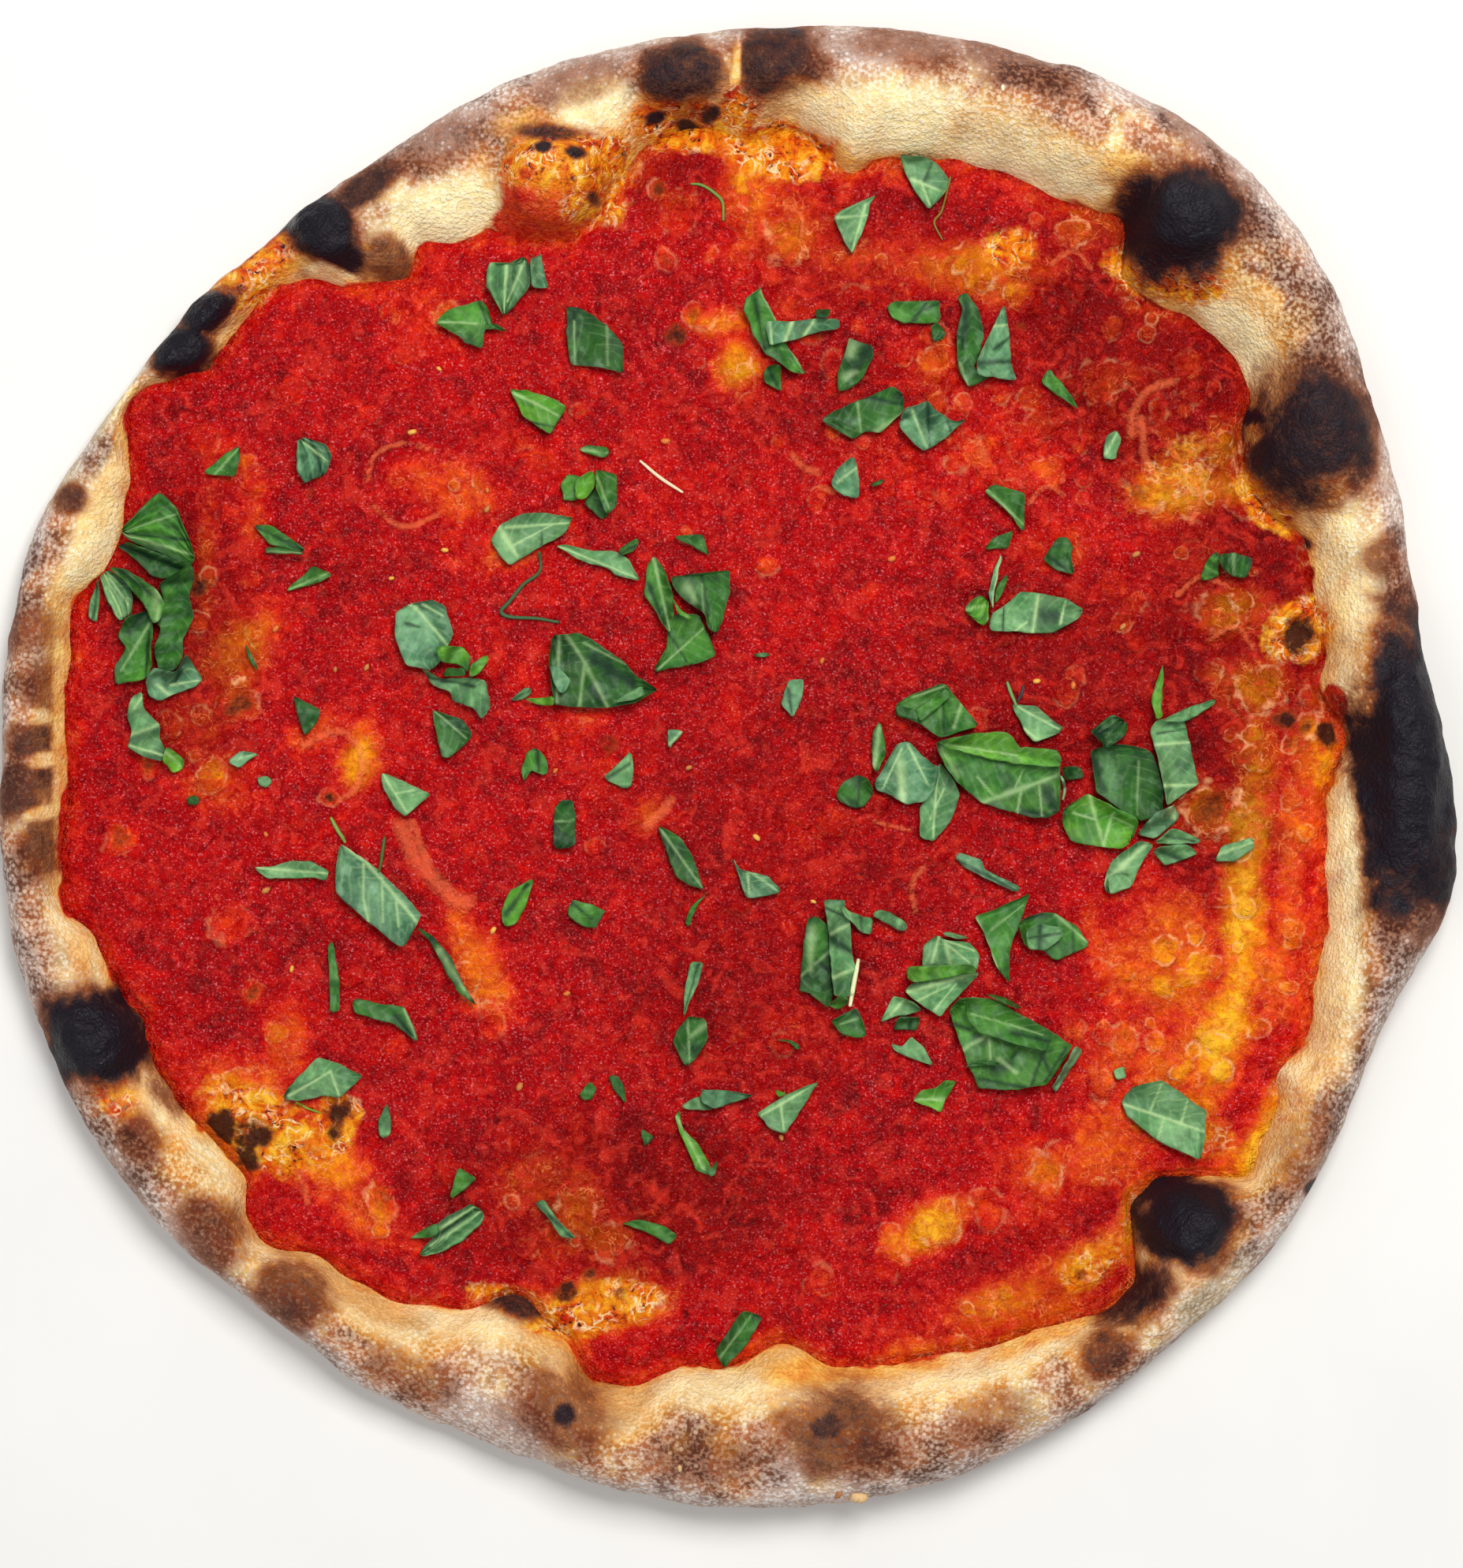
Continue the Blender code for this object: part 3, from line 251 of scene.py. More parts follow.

# Every basil piece in the order it is laid, measured in picture units (0.1732 mm, x right, y down):
# turn of its length in degrees, tone, waves (across its length, or along it where negative), its outline
# as x, y, x, y..., and its ribs as (x, y, x, y, half width in mm), negative for a bruise or a crease painted
# in shade.
# Tones: d dark, m mid green, b bright, p the pale underside, s silvery.
LEAVES = (
    (-50, "p", 0, (1140, 195, 1176, 198, 1188, 203, 1207, 228, 1197, 245, 1180, 263, 1172, 257, 1157, 232),
     ((1157, 224, 1199, 241, 0.3), (1174, 224, 1183, 203, -0.35), (1168, 226, 1180, 258, 0.2))),
    (-80, "p", 0, (1113, 244, 1104, 254, 1101, 273, 1082, 321, 1071, 304, 1057, 273, 1066, 264, 1094, 251),
     ((1098, 256, 1081, 316, 0.25), (1062, 274, 1099, 270, 0.2))),
    (-95, "p", -3, (621, 327, 626, 335, 640, 333, 664, 322, 672, 339, 672, 359, 658, 378, 638, 399,
     629, 384, 616, 362, 616, 339), ((641, 335, 638, 396, 0.25), (664, 330, 642, 380, 0.2))),
    (190, "m", 0, (550, 407, 568, 390, 607, 378, 619, 390, 617, 406, 630, 409, 643, 418, 613, 414,
     611, 440, 587, 432, 584, 426), ((554, 406, 612, 408, 0.2), (606, 380, 617, 408, -0.3))),
    (-60, "d", 0, (717, 386, 734, 387, 766, 408, 785, 429, 790, 435, 789, 472, 760, 464, 723, 461,
     718, 435), ((731, 388, 720, 404, -0.7), (727, 405, 728, 460, 0.15), (769, 412, 770, 462, 0.15))),
    (-25, "b", 0, (644, 491, 667, 493, 696, 502, 718, 513, 713, 523, 705, 531, 699, 550, 677, 537,
     661, 526, 658, 515), ((650, 496, 706, 524, 0.2), (672, 534, 704, 540, -0.2))),
    (-60, "m", 0, (941, 390, 947, 374, 960, 376, 964, 359, 968, 374, 985, 405, 997, 433, 1023, 473,
     1004, 469, 970, 446, 955, 423, 951, 408), ((964, 366, 1019, 471, 0.2), (958, 380, 970, 440, -0.5))),
    (4, "s", 0, (970, 408, 983, 406, 1004, 405, 1032, 402, 1061, 402, 1067, 408, 1062, 415, 1034, 420,
     1016, 427, 974, 437), ((996, 431, 1005, 405, 0.35), (1018, 427, 1036, 398, 0.35),
     (976, 408, 979, 436, 0.2))),
    (70, "d", 0, (1077, 425, 1107, 436, 1109, 448, 1094, 479, 1077, 492, 1062, 494, 1063, 470, 1072, 445),
     ((1080, 432, 1078, 446, 1.4), (1102, 440, 1082, 474, -1.3), (1072, 476, 1086, 470, 0.8))),
    (-80, "d", 0, (1215, 373, 1227, 368, 1243, 392, 1249, 426, 1241, 451, 1235, 464, 1257, 478, 1229, 490,
     1216, 467, 1213, 439, 1216, 408, 1222, 389), ((1226, 384, 1222, 440, -0.8),
     (1218, 460, 1229, 488, 0.3))),
    (85, "s", 0, (1274, 384, 1280, 411, 1283, 458, 1291, 481, 1269, 479, 1240, 476, 1238, 458, 1254, 426),
     ((1240, 459, 1284, 457, -0.6), (1258, 412, 1280, 410, 0.25), (1262, 440, 1282, 426, -0.5))),
    (20, "d", 0, (1041, 531, 1051, 523, 1085, 508, 1132, 488, 1147, 501, 1146, 520, 1116, 548, 1098, 545,
     1083, 556, 1060, 543), ((1094, 500, 1146, 512, -0.5), (1088, 510, 1092, 545, 0.2),
     (1112, 545, 1144, 524, 0.5))),
    (-10, "s", 0, (1140, 536, 1148, 517, 1176, 507, 1188, 520, 1210, 534, 1226, 530, 1207, 548, 1185, 564,
     1172, 571, 1163, 565, 1144, 545), ((1158, 520, 1176, 566, 0.2), (1176, 508, 1180, 566, -0.25),
     (1202, 532, 1206, 546, -0.25))),
    (0, "p", 0, (1255, 792, 1258, 778, 1274, 768, 1295, 749, 1317, 751, 1351, 758, 1376, 772, 1368, 784,
     1333, 803, 1287, 800, 1259, 800), ((1311, 802, 1318, 754, 0.3), (1273, 799, 1274, 770, -0.2),
     (1327, 780, 1339, 782, -2.2), (1288, 800, 1304, 788, 0.2), (1346, 790, 1352, 762, 0.2))),
    (-65, "s", -3, (376, 556, 385, 553, 412, 562, 420, 576, 412, 600, 385, 613, 374, 594),
     ((384, 560, 414, 584, 0.2), (392, 556, 408, 602, -0.4))),
    (0, "m", -4, (149, 672, 174, 646, 200, 622, 222, 642, 237, 677, 246, 705, 241, 716, 206, 702,
     160, 684), ((152, 676, 244, 703, 0.35), (156, 672, 224, 650, 0.15), (156, 675, 238, 684, -0.3))),
    (-30, "d", 0, (143, 690, 160, 687, 206, 702, 241, 716, 246, 721, 230, 728, 209, 733, 188, 730,
     174, 712), ((150, 690, 232, 722, -0.5),)),
    (-82, "m", 6, (199, 740, 244, 716, 248, 723, 237, 754, 244, 782, 230, 810, 229, 835, 220, 851,
     199, 847, 192, 824, 202, 796, 195, 789, 206, 768), ((200, 745, 196, 800, -0.6),)),
    (-55, "p", -3, (123, 728, 134, 721, 160, 740, 165, 754, 165, 777, 150, 788, 143, 779, 129, 751),
     ((128, 728, 152, 780, 0.25), (132, 726, 160, 766, 0.2))),
    (70, "m", 0, (146, 805, 160, 782, 185, 772, 192, 796, 190, 824, 192, 842, 181, 860, 143, 868, 143, 842,
     157, 821), ((178, 778, 160, 800, -1.4), (186, 790, 150, 850, 0.2), (186, 800, 182, 856, -0.4))),
    (-15, "s", 0, (183, 860, 195, 846, 223, 853, 234, 828, 255, 861, 244, 870, 218, 881, 199, 889,
     185, 881), ((214, 868, 250, 862, 0.2), (196, 868, 216, 884, 0.35), (232, 836, 220, 866, -0.4))),
    (-68, "p", 3, (157, 909, 165, 881, 178, 877, 179, 898, 202, 919, 200, 933, 209, 954, 206, 965,
     181, 960, 158, 947, 165, 926), ((162, 932, 200, 918, 0.45), (162, 945, 206, 958, 0.25),
     (168, 898, 178, 884, 0.25))),
    (-75, "s", 0, (500, 775, 520, 763, 534, 765, 546, 758, 564, 768, 574, 803, 567, 817, 557, 839,
     546, 850, 513, 842, 500, 807), ((520, 764, 566, 817, 0.35), (514, 790, 530, 794, -0.3),
     (534, 765, 560, 780, 0.2))),
    (-28, "p", 3, (535, 846, 557, 860, 595, 858, 616, 863, 621, 898, 609, 912, 602, 898, 574, 889,
     571, 877, 546, 868), ((540, 858, 600, 870, -0.4),)),
    (-55, "d", 0, (546, 899, 585, 912, 597, 928, 595, 938, 569, 961, 558, 959),
     ((550, 902, 590, 936, 0.15),)),
    (-40, "p", 0, (481, 979, 495, 984, 546, 1007, 528, 1022, 513, 1036, 500, 1026, 485, 1001),
     ((484, 982, 514, 1030, 0.25), (500, 1006, 524, 1002, 0.2))),
    (12, "p", 0, (621, 685, 633, 664, 662, 650, 690, 649, 727, 655, 715, 676, 686, 692, 645, 716,
     634, 705), ((631, 666, 655, 705, 0.55), (640, 668, 722, 662, 0.2), (686, 690, 686, 672, -0.3),
     (650, 690, 700, 664, 0.15))),
    (-20, "p", 0, (703, 690, 721, 690, 748, 697, 779, 697, 798, 709, 811, 735, 783, 730, 769, 719,
     738, 711), ((706, 691, 808, 732, 0.15),)),
    (25, "m", 0, (829, 847, 841, 826, 846, 819, 845, 792, 855, 778, 886, 778, 896, 798, 908, 831, 889, 840,
     848, 847, 831, 852), ((834, 848, 892, 796, 0.15), (846, 800, 870, 838, -0.2))),
    (-82, "d", 0, (850, 730, 889, 726, 925, 722, 926, 747, 917, 785, 910, 802, 900, 800, 893, 778,
     869, 761, 853, 745), ((889, 727, 898, 780, -0.35), (872, 744, 882, 760, 0.9),
     (890, 740, 893, 800, 0.15))),
    (-72, "m", 0, (817, 743, 820, 716, 829, 703, 841, 719, 853, 750, 855, 778, 850, 804, 838, 788,
     827, 767, 816, 754), ((828, 706, 849, 800, 0.25), (822, 740, 842, 790, -0.4))),
    (-30, "d", 0, (700, 805, 734, 802, 748, 809, 793, 840, 807, 857, 835, 874, 807, 890, 772, 897,
     731, 897, 703, 893, 696, 847, 696, 833), ((718, 805, 741, 840, 0.4), (741, 840, 770, 896, 0.4),
     (708, 806, 706, 890, 0.3), (741, 842, 734, 895, 0.3), (754, 836, 782, 852, -1.6),
     (770, 850, 800, 866, -1.2), (750, 872, 764, 892, -0.6), (740, 815, 792, 842, 0.2))),
    (-3, "p", 0, (318, 1100, 343, 1099, 366, 1092, 393, 1092, 416, 1105, 413, 1117, 389, 1113, 335, 1115),
     ((322, 1101, 414, 1108, 0.25),)),
    (-45, "s", 0, (430, 1070, 456, 1086, 479, 1105, 518, 1142, 533, 1160, 528, 1173, 512, 1201, 502, 1199,
     459, 1164, 423, 1131, 424, 1103), ((432, 1071, 463, 1094, 0.4), (463, 1094, 528, 1170, 0.4),
     (459, 1096, 459, 1140, 0.2), (459, 1140, 466, 1168, 0.2), (482, 1112, 484, 1170, 0.15),
     (500, 1136, 504, 1176, 0.15))),
    (-20, "d", 0, (444, 1273, 450, 1267, 483, 1274, 512, 1278, 529, 1317, 526, 1322, 498, 1300, 448, 1286),
     ((511, 1280, 526, 1316, 0.3), (500, 1290, 520, 1314, -0.6))),
    (-58, "d", 0, (834, 1046, 862, 1062, 876, 1081, 893, 1129, 876, 1124, 858, 1112, 848, 1091),
     ((836, 1050, 890, 1126, 0.2),)),
    (55, "d", 0, (906, 1716, 942, 1663, 967, 1672, 949, 1705, 918, 1739), ((912, 1726, 954, 1668, 0.15),)),
    (25, "p", 0, (356, 1395, 364, 1380, 401, 1341, 428, 1350, 459, 1365, 430, 1393, 409, 1391, 378, 1397),
     ((364, 1391, 417, 1360, 0.25), (366, 1390, 404, 1366, -0.3), (417, 1360, 428, 1390, 0.2),
     (356, 1392, 364, 1384, -0.8))),
    (40, "p", -3, (529, 1592, 549, 1570, 555, 1551, 596, 1527, 613, 1539, 611, 1551, 588, 1574, 557, 1590,
     535, 1595), ((545, 1582, 608, 1538, 0.3), (556, 1560, 600, 1532, 0.25), (552, 1568, 590, 1544, -0.5))),
    (38, "p", 0, (960, 1413, 1001, 1387, 1039, 1372, 1016, 1409, 996, 1439, 975, 1433),
     ((966, 1416, 1034, 1376, 0.2), (990, 1402, 994, 1434, 0.15))),
    (-60, "d", 0, (1385, 951, 1407, 945, 1426, 943, 1456, 949, 1466, 959, 1477, 1005, 1475, 1031,
     1449, 1041, 1426, 1029, 1391, 1005, 1387, 974), ((1388, 956, 1400, 1002, -0.9),
     (1446, 965, 1444, 1034, 0.15))),
    (-85, "p", 0, (1460, 924, 1468, 913, 1502, 907, 1512, 943, 1522, 993, 1479, 1023, 1475, 1001,
     1468, 955), ((1468, 944, 1511, 941, 0.25), (1477, 996, 1522, 995, 0.3), (1470, 930, 1506, 924, -0.2))),
    (75, "p", 0, (1192, 966, 1211, 989, 1219, 1008, 1208, 1039, 1185, 1068, 1167, 1062, 1167, 1024,
     1173, 1016, 1188, 993), ((1190, 972, 1184, 1062, 0.2), (1198, 1000, 1180, 1040, 0.15))),
    (-5, "s", 0, (1109, 991, 1139, 943, 1154, 940, 1181, 968, 1192, 972, 1186, 1001, 1173, 1016,
     1150, 1021, 1131, 1008, 1110, 1001), ((1142, 968, 1146, 1016, 0.9), (1152, 944, 1178, 996, 0.2),
     (1144, 950, 1120, 1000, 0.15))),
    (-28, "m", 0, (1135, 894, 1152, 882, 1194, 866, 1202, 869, 1242, 920, 1192, 936, 1167, 917, 1137, 907),
     ((1211, 922, 1220, 892, 0.3), (1196, 874, 1198, 930, -0.3), (1158, 884, 1198, 870, 0.2))),
    (-18, "m", 0, (1188, 940, 1234, 930, 1276, 927, 1284, 934, 1294, 949, 1299, 947, 1341, 951, 1346, 962,
     1345, 1029, 1326, 1037, 1309, 1037, 1265, 1024, 1246, 1018, 1219, 997, 1200, 974, 1189, 949),
     ((1246, 1018, 1345, 982, 0.5), (1288, 1000, 1300, 974, 0.15), (1262, 1010, 1240, 985, 0.2),
     (1296, 1000, 1290, 1034, 0.2), (1318, 992, 1322, 1034, 0.15), (1330, 1005, 1340, 1034, -1.5),
     (1300, 1030, 1330, 1034, -0.8), (1195, 950, 1216, 985, 0.5))),
    (55, "p", 0, (1401, 1121, 1410, 1093, 1445, 1066, 1464, 1070, 1445, 1104, 1437, 1123, 1407, 1135),
     ((1403, 1120, 1460, 1066, 0.6), (1410, 1108, 1432, 1110, -0.3))),
    (-30, "b", 0, (1347, 1028, 1380, 1006, 1441, 1037, 1444, 1045, 1433, 1070, 1422, 1077, 1397, 1074,
     1361, 1068, 1349, 1047), ((1383, 1008, 1401, 1073, 0.35), (1401, 1070, 1413, 1030, 0.25),
     (1393, 1040, 1362, 1031, 0.2), (1412, 1036, 1438, 1048, 0.15))),
    (-35, "p", 0, (1284, 892, 1315, 894, 1350, 923, 1345, 929, 1313, 941, 1301, 928),
     ((1288, 894, 1344, 924, 0.15), (1300, 924, 1318, 938, 0.25))),
    (-95, "m", 0, (1237, 1163, 1308, 1133, 1291, 1180, 1280, 1206, 1282, 1248, 1267, 1230, 1248, 1183),
     ((1239, 1164, 1266, 1228, 0.3), (1258, 1180, 1298, 1148, 0.1))),
    (-15, "m", 0, (1292, 1172, 1301, 1163, 1327, 1157, 1340, 1159, 1367, 1175, 1382, 1196, 1381, 1201,
     1340, 1219, 1325, 1206, 1301, 1201), ((1296, 1166, 1322, 1160, -0.8), (1340, 1160, 1381, 1196, 0.25),
     (1362, 1180, 1362, 1210, -0.25))),
    (85, "d", 0, (1024, 1164, 1037, 1161, 1051, 1175, 1054, 1232, 1057, 1261, 1051, 1280, 1033, 1266,
     1021, 1253, 1014, 1259, 1016, 1232, 1019, 1198), ((1016, 1238, 1052, 1208, 0.2),
     (1036, 1219, 1052, 1232, -0.4), (1030, 1180, 1028, 1230, 0.9))),
    (-84, "p", 2, (1045, 1141, 1073, 1141, 1072, 1149, 1080, 1172, 1080, 1209, 1087, 1230, 1076, 1266,
     1057, 1263, 1054, 1235, 1051, 1185), ((1055, 1184, 1080, 1171, 0.3), (1058, 1239, 1083, 1230, 0.3),
     (1056, 1192, 1078, 1206, -1), (1048, 1152, 1070, 1162, -0.3))),
    (-60, "p", 0, (1170, 1217, 1172, 1198, 1190, 1185, 1199, 1192, 1231, 1195, 1244, 1212, 1240, 1232,
     1170, 1227), ((1199, 1193, 1206, 1224, 0.35), (1191, 1188, 1182, 1222, 0.25),
     (1202, 1194, 1236, 1206, 0.15), (1204, 1200, 1230, 1222, 0.15))),
    (20, "p", 0, (1147, 1256, 1157, 1248, 1241, 1232, 1240, 1238, 1199, 1282, 1193, 1291, 1185, 1286,
     1160, 1269), ((1148, 1260, 1240, 1235, 0.55), (1164, 1270, 1206, 1250, 0.15),
     (1186, 1282, 1214, 1248, 0.15))),
    (-28, "m", 0, (1204, 1280, 1218, 1266, 1252, 1266, 1272, 1272, 1288, 1283, 1333, 1308, 1361, 1327,
     1348, 1348, 1330, 1375, 1291, 1383, 1244, 1382, 1227, 1348, 1212, 1303),
     ((1221, 1334, 1252, 1314, 0.45), (1256, 1318, 1257, 1348, 0.35), (1325, 1334, 1308, 1378, -0.3),
     (1322, 1338, 1334, 1366, -0.3), (1352, 1330, 1326, 1372, -0.25), (1262, 1356, 1280, 1352, -1.6),
     (1244, 1370, 1300, 1380, -0.4), (1212, 1300, 1232, 1308, -0.6), (1290, 1336, 1284, 1344, -0.7),
     (1268, 1344, 1290, 1362, 0.4))),
    (-38, "p", 0, (1424, 1398, 1438, 1378, 1475, 1370, 1532, 1410, 1530, 1440, 1523, 1472, 1470, 1448,
     1430, 1415), ((1428, 1402, 1528, 1436, 0.25), (1460, 1412, 1474, 1376, 0.15),
     (1478, 1420, 1470, 1446, 0.15), (1500, 1426, 1508, 1396, 0.15))),
)

# The smaller pieces and the folded flaps, in the same columns.
FLAKES = (
    (-50, "s", 0, (672, 327, 685, 317, 689, 339, 695, 363, 673, 363), ()),
    (70, "m", 0, (968, 469, 974, 462, 990, 461, 991, 494, 969, 482), ((974, 464, 986, 488, -0.5),)),
    (-10, "d", 0, (1034, 390, 1053, 390, 1052, 401, 1034, 402), ()),
    (0, "m", 0, (1125, 384, 1135, 380, 1193, 379, 1194, 395, 1191, 408, 1147, 407, 1132, 401),
     ((1158, 405, 1176, 382, -0.35), (1168, 392, 1192, 382, -0.2))),
    (-70, "d", 0, (1180, 411, 1188, 409, 1201, 420, 1197, 429, 1183, 432), ()),
    (-50, "m", 0, (1322, 479, 1332, 464, 1354, 492, 1371, 518, 1348, 504, 1326, 486), ()),
    (80, "s", 0, (1054, 608, 1062, 592, 1083, 576, 1090, 601, 1090, 631, 1072, 628, 1055, 617),
     ((1062, 610, 1086, 592, 0.2),)),
    (10, "m", 0, (1104, 611, 1121, 606, 1119, 612, 1108, 615), ()),
    (-55, "m", 0, (1249, 620, 1260, 612, 1300, 624, 1301, 672, 1297, 672, 1282, 650),
     ((1252, 618, 1299, 664, 0.15),)),
    (25, "d", 0, (1249, 695, 1260, 680, 1287, 671, 1280, 694), ()),
    (60, "p", 0, (1400, 580, 1405, 550, 1418, 543, 1424, 556, 1415, 582), ((1404, 574, 1418, 548, 0.2),)),
    (-40, "d", 0, (1325, 706, 1343, 679, 1355, 680, 1363, 694, 1359, 701, 1364, 727, 1341, 722, 1326, 711),
     ((1330, 704, 1354, 722, -0.4),)),
    (60, "m", 3, (1524, 733, 1531, 711, 1542, 699, 1548, 701, 1547, 730, 1528, 735), ()),
    (-10, "d", 3, (1545, 702, 1566, 700, 1591, 707, 1582, 733, 1564, 730, 1549, 718),
     ((1566, 702, 1566, 728, 0.3),)),
    (40, "b", -3, (1223, 772, 1236, 757, 1246, 754, 1255, 762, 1254, 786, 1248, 794, 1238, 786),
     ((1226, 772, 1252, 766, 0.2),)),
    (60, "m", 0, (1279, 725, 1278, 741, 1264, 765, 1262, 762, 1266, 741), ()),
    (76, "s", 0, (1270, 701, 1272, 706, 1263, 741, 1260, 773, 1254, 754, 1260, 725),
     ((1270, 704, 1259, 768, 0.3),)),
    (30, "m", 0, (255, 598, 280, 577, 302, 563, 303, 577, 297, 603, 270, 601),
     ((270, 600, 300, 568, 0.15),)),
    (-30, "m", 0, (318, 664, 343, 665, 385, 695, 380, 699, 340, 690), ((322, 666, 382, 698, -0.3),)),
    (-5, "d", 0, (332, 700, 336, 692, 360, 694, 386, 702), ((336, 698, 380, 700, 0.2),)),
    (20, "m", 0, (358, 749, 395, 716, 421, 728, 399, 739), ((364, 746, 414, 726, 0.15),)),
    (-65, "d", 0, (370, 881, 404, 900, 402, 914, 385, 934, 378, 916), ()),
    (15, "s", 0, (285, 965, 304, 951, 327, 956, 314, 963, 302, 974), ((290, 964, 322, 956, 0.15),)),
    (-20, "p", 0, (323, 986, 336, 983, 343, 991, 336, 999, 326, 996), ()),
    (-62, "d", 0, (308, 814, 314, 824, 326, 852, 314, 839), ()),
    (0, "d", 0, (232, 1012, 240, 1008, 250, 1012, 247, 1020, 234, 1020), ()),
    (75, "p", 0, (122, 732, 123, 751, 120, 789, 108, 784, 111, 758), ((120, 738, 114, 784, -0.3),)),
    (-42, "m", 0, (136, 718, 153, 719, 195, 744, 209, 765, 202, 786, 192, 791, 185, 772, 160, 740),
     ((150, 722, 200, 762, -0.5), (196, 750, 198, 784, 0.9))),
    (-50, "b", 0, (206, 965, 211, 945, 232, 965, 230, 975, 216, 980), ((208, 952, 228, 974, 0.2),)),
    (-35, "b", 2, (551, 821, 562, 818, 585, 819, 595, 831, 593, 853, 581, 842, 560, 840), ()),
    (50, "b", 0, (595, 860, 595, 842, 609, 833, 619, 830, 618, 836, 607, 853), ()),
    (-5, "d", 0, (560, 858, 564, 846, 588, 847, 591, 856), ()),
    (0, "m", 0, (731, 567, 744, 562, 768, 564, 773, 572, 766, 578, 744, 574),
     ((736, 568, 770, 572, 0.2),)),
    (70, "m", 0, (709, 614, 718, 599, 734, 601, 731, 633, 712, 633, 713, 623), ()),
    (-65, "d", 0, (739, 636, 753, 617, 772, 649, 764, 658), ()),
    (55, "b", 0, (728, 631, 729, 607, 750, 594, 755, 604, 753, 617, 740, 633), ()),
    (-80, "m", 0, (755, 593, 782, 601, 782, 642, 769, 652, 764, 642, 755, 620),
     ((757, 604, 772, 644, 0.15),)),
    (25, "m", 0, (783, 697, 807, 680, 811, 685, 805, 697, 788, 704), ((788, 700, 806, 690, -0.4),)),
    (-15, "d", 0, (854, 678, 891, 676, 900, 704, 876, 690, 857, 683), ()),
    (-40, "b", 0, (853, 757, 862, 771, 878, 783, 877, 786, 860, 779, 855, 764), ()),
    (-70, "s", 0, (696, 843, 707, 843, 724, 862, 717, 878, 709, 878, 700, 860), ()),
    (20, "p", 0, (779, 891, 793, 878, 815, 869, 817, 881, 807, 886), ()),
    (30, "p", 0, (645, 888, 665, 871, 674, 872, 672, 881, 659, 887), ((650, 886, 672, 874, -0.25),)),
    (-5, "b", 0, (662, 886, 679, 884, 703, 883, 703, 895, 683, 893), ()),
    (45, "s", 0, (846, 924, 866, 926, 862, 934, 847, 950), ((848, 944, 864, 927, 0.15),)),
    (60, "m", 0, (660, 976, 667, 952, 679, 947, 691, 960, 695, 979, 688, 984, 678, 976, 671, 979,
     664, 992), ((680, 950, 682, 978, -0.4),)),
    (55, "p", 0, (764, 986, 800, 952, 803, 971, 800, 998, 788, 1000, 779, 995),
     ((770, 986, 798, 968, -0.4),)),
    (88, "d", 0, (703, 1022, 714, 1013, 726, 1014, 729, 1036, 728, 1073, 707, 1078, 701, 1071, 701, 1043),
     ((703, 1042, 727, 1040, 0.15), (704, 1046, 706, 1070, -0.5))),
    (60, "m", 0, (900, 1128, 886, 1146, 872, 1177, 869, 1170, 876, 1150), ()),
    (60, "b", 0, (633, 1157, 645, 1129, 672, 1115, 676, 1117, 665, 1150, 653, 1172, 641, 1177, 636, 1170),
     ((640, 1160, 668, 1122, -0.5),)),
    (-30, "m", 0, (718, 1153, 726, 1141, 752, 1148, 769, 1157, 755, 1160, 757, 1177, 738, 1176, 721, 1164),
     ((724, 1146, 750, 1166, -0.3),)),
    (-35, "s", 0, (929, 1088, 940, 1104, 955, 1106, 975, 1112, 992, 1131, 970, 1137, 945, 1139, 940, 1120),
     ((932, 1092, 986, 1130, 0.2), (948, 1108, 950, 1134, 0.2))),
    (-52, "d", 4, (528, 1175, 549, 1189, 572, 1216, 588, 1251, 604, 1276, 584, 1263, 564, 1232, 549, 1204),
     ((556, 1206, 594, 1264, 0.7),)),
    (-86, "m", 0, (413, 1201, 419, 1194, 428, 1243, 429, 1284, 417, 1284, 415, 1243), ()),
    (80, "p", 2, (478, 1422, 490, 1399, 494, 1418, 494, 1440, 487, 1446, 479, 1442), ()),
    (50, "m", 0, (569, 1523, 574, 1498, 580, 1481, 604, 1496, 588, 1510), ()),
    (25, "m", 0, (516, 1573, 540, 1558, 556, 1551, 556, 1565, 545, 1571), ()),
    (-50, "p", 0, (677, 1526, 689, 1523, 705, 1547, 731, 1572, 712, 1570),
     ((680, 1528, 724, 1570, -0.3),)),
    (72, "p", 0, (875, 1220, 893, 1221, 883, 1254, 866, 1291, 868, 1258),
     ((886, 1222, 868, 1282, -0.25),)),
    (70, "d", 0, (853, 1322, 859, 1306, 874, 1288, 896, 1293, 898, 1317, 886, 1339, 870, 1355, 861, 1339),
     ((872, 1294, 874, 1348, 0.15), (894, 1300, 876, 1316, 0.6))),
    (-20, "d", 0, (983, 1319, 1001, 1319, 1016, 1328, 1012, 1334, 999, 1322), ()),
    (40, "m", 0, (734, 1387, 748, 1372, 756, 1382, 750, 1396, 735, 1395), ()),
    (-65, "d", 0, (770, 1365, 781, 1365, 790, 1376, 794, 1402, 777, 1382), ()),
    (-40, "m", 0, (812, 1433, 830, 1443, 816, 1457), ()),
    (15, "p", 2, (862, 1406, 879, 1393, 890, 1391, 905, 1409, 875, 1409), ()),
    (-5, "s", 3, (888, 1383, 912, 1383, 957, 1390, 905, 1408, 890, 1398), ()),
    (-65, "b", 0, (855, 1417, 862, 1409, 864, 1432, 883, 1450, 899, 1476, 905, 1493, 883, 1487, 874, 1465,
     861, 1435), ((858, 1418, 892, 1484, 0.25),)),
    (60, "d", 0, (896, 1488, 911, 1472, 908, 1490, 900, 1493), ()),
    (0, "b", 0, (981, 1383, 998, 1386, 988, 1393), ()),
    (-20, "m", 0, (787, 1553, 814, 1549, 842, 1557, 860, 1568, 848, 1581, 820, 1565), ()),
    (80, "m", 0, (1106, 972, 1107, 928, 1116, 913, 1123, 936, 1124, 955, 1114, 980),
     ((1110, 970, 1116, 920, 0.5),)),
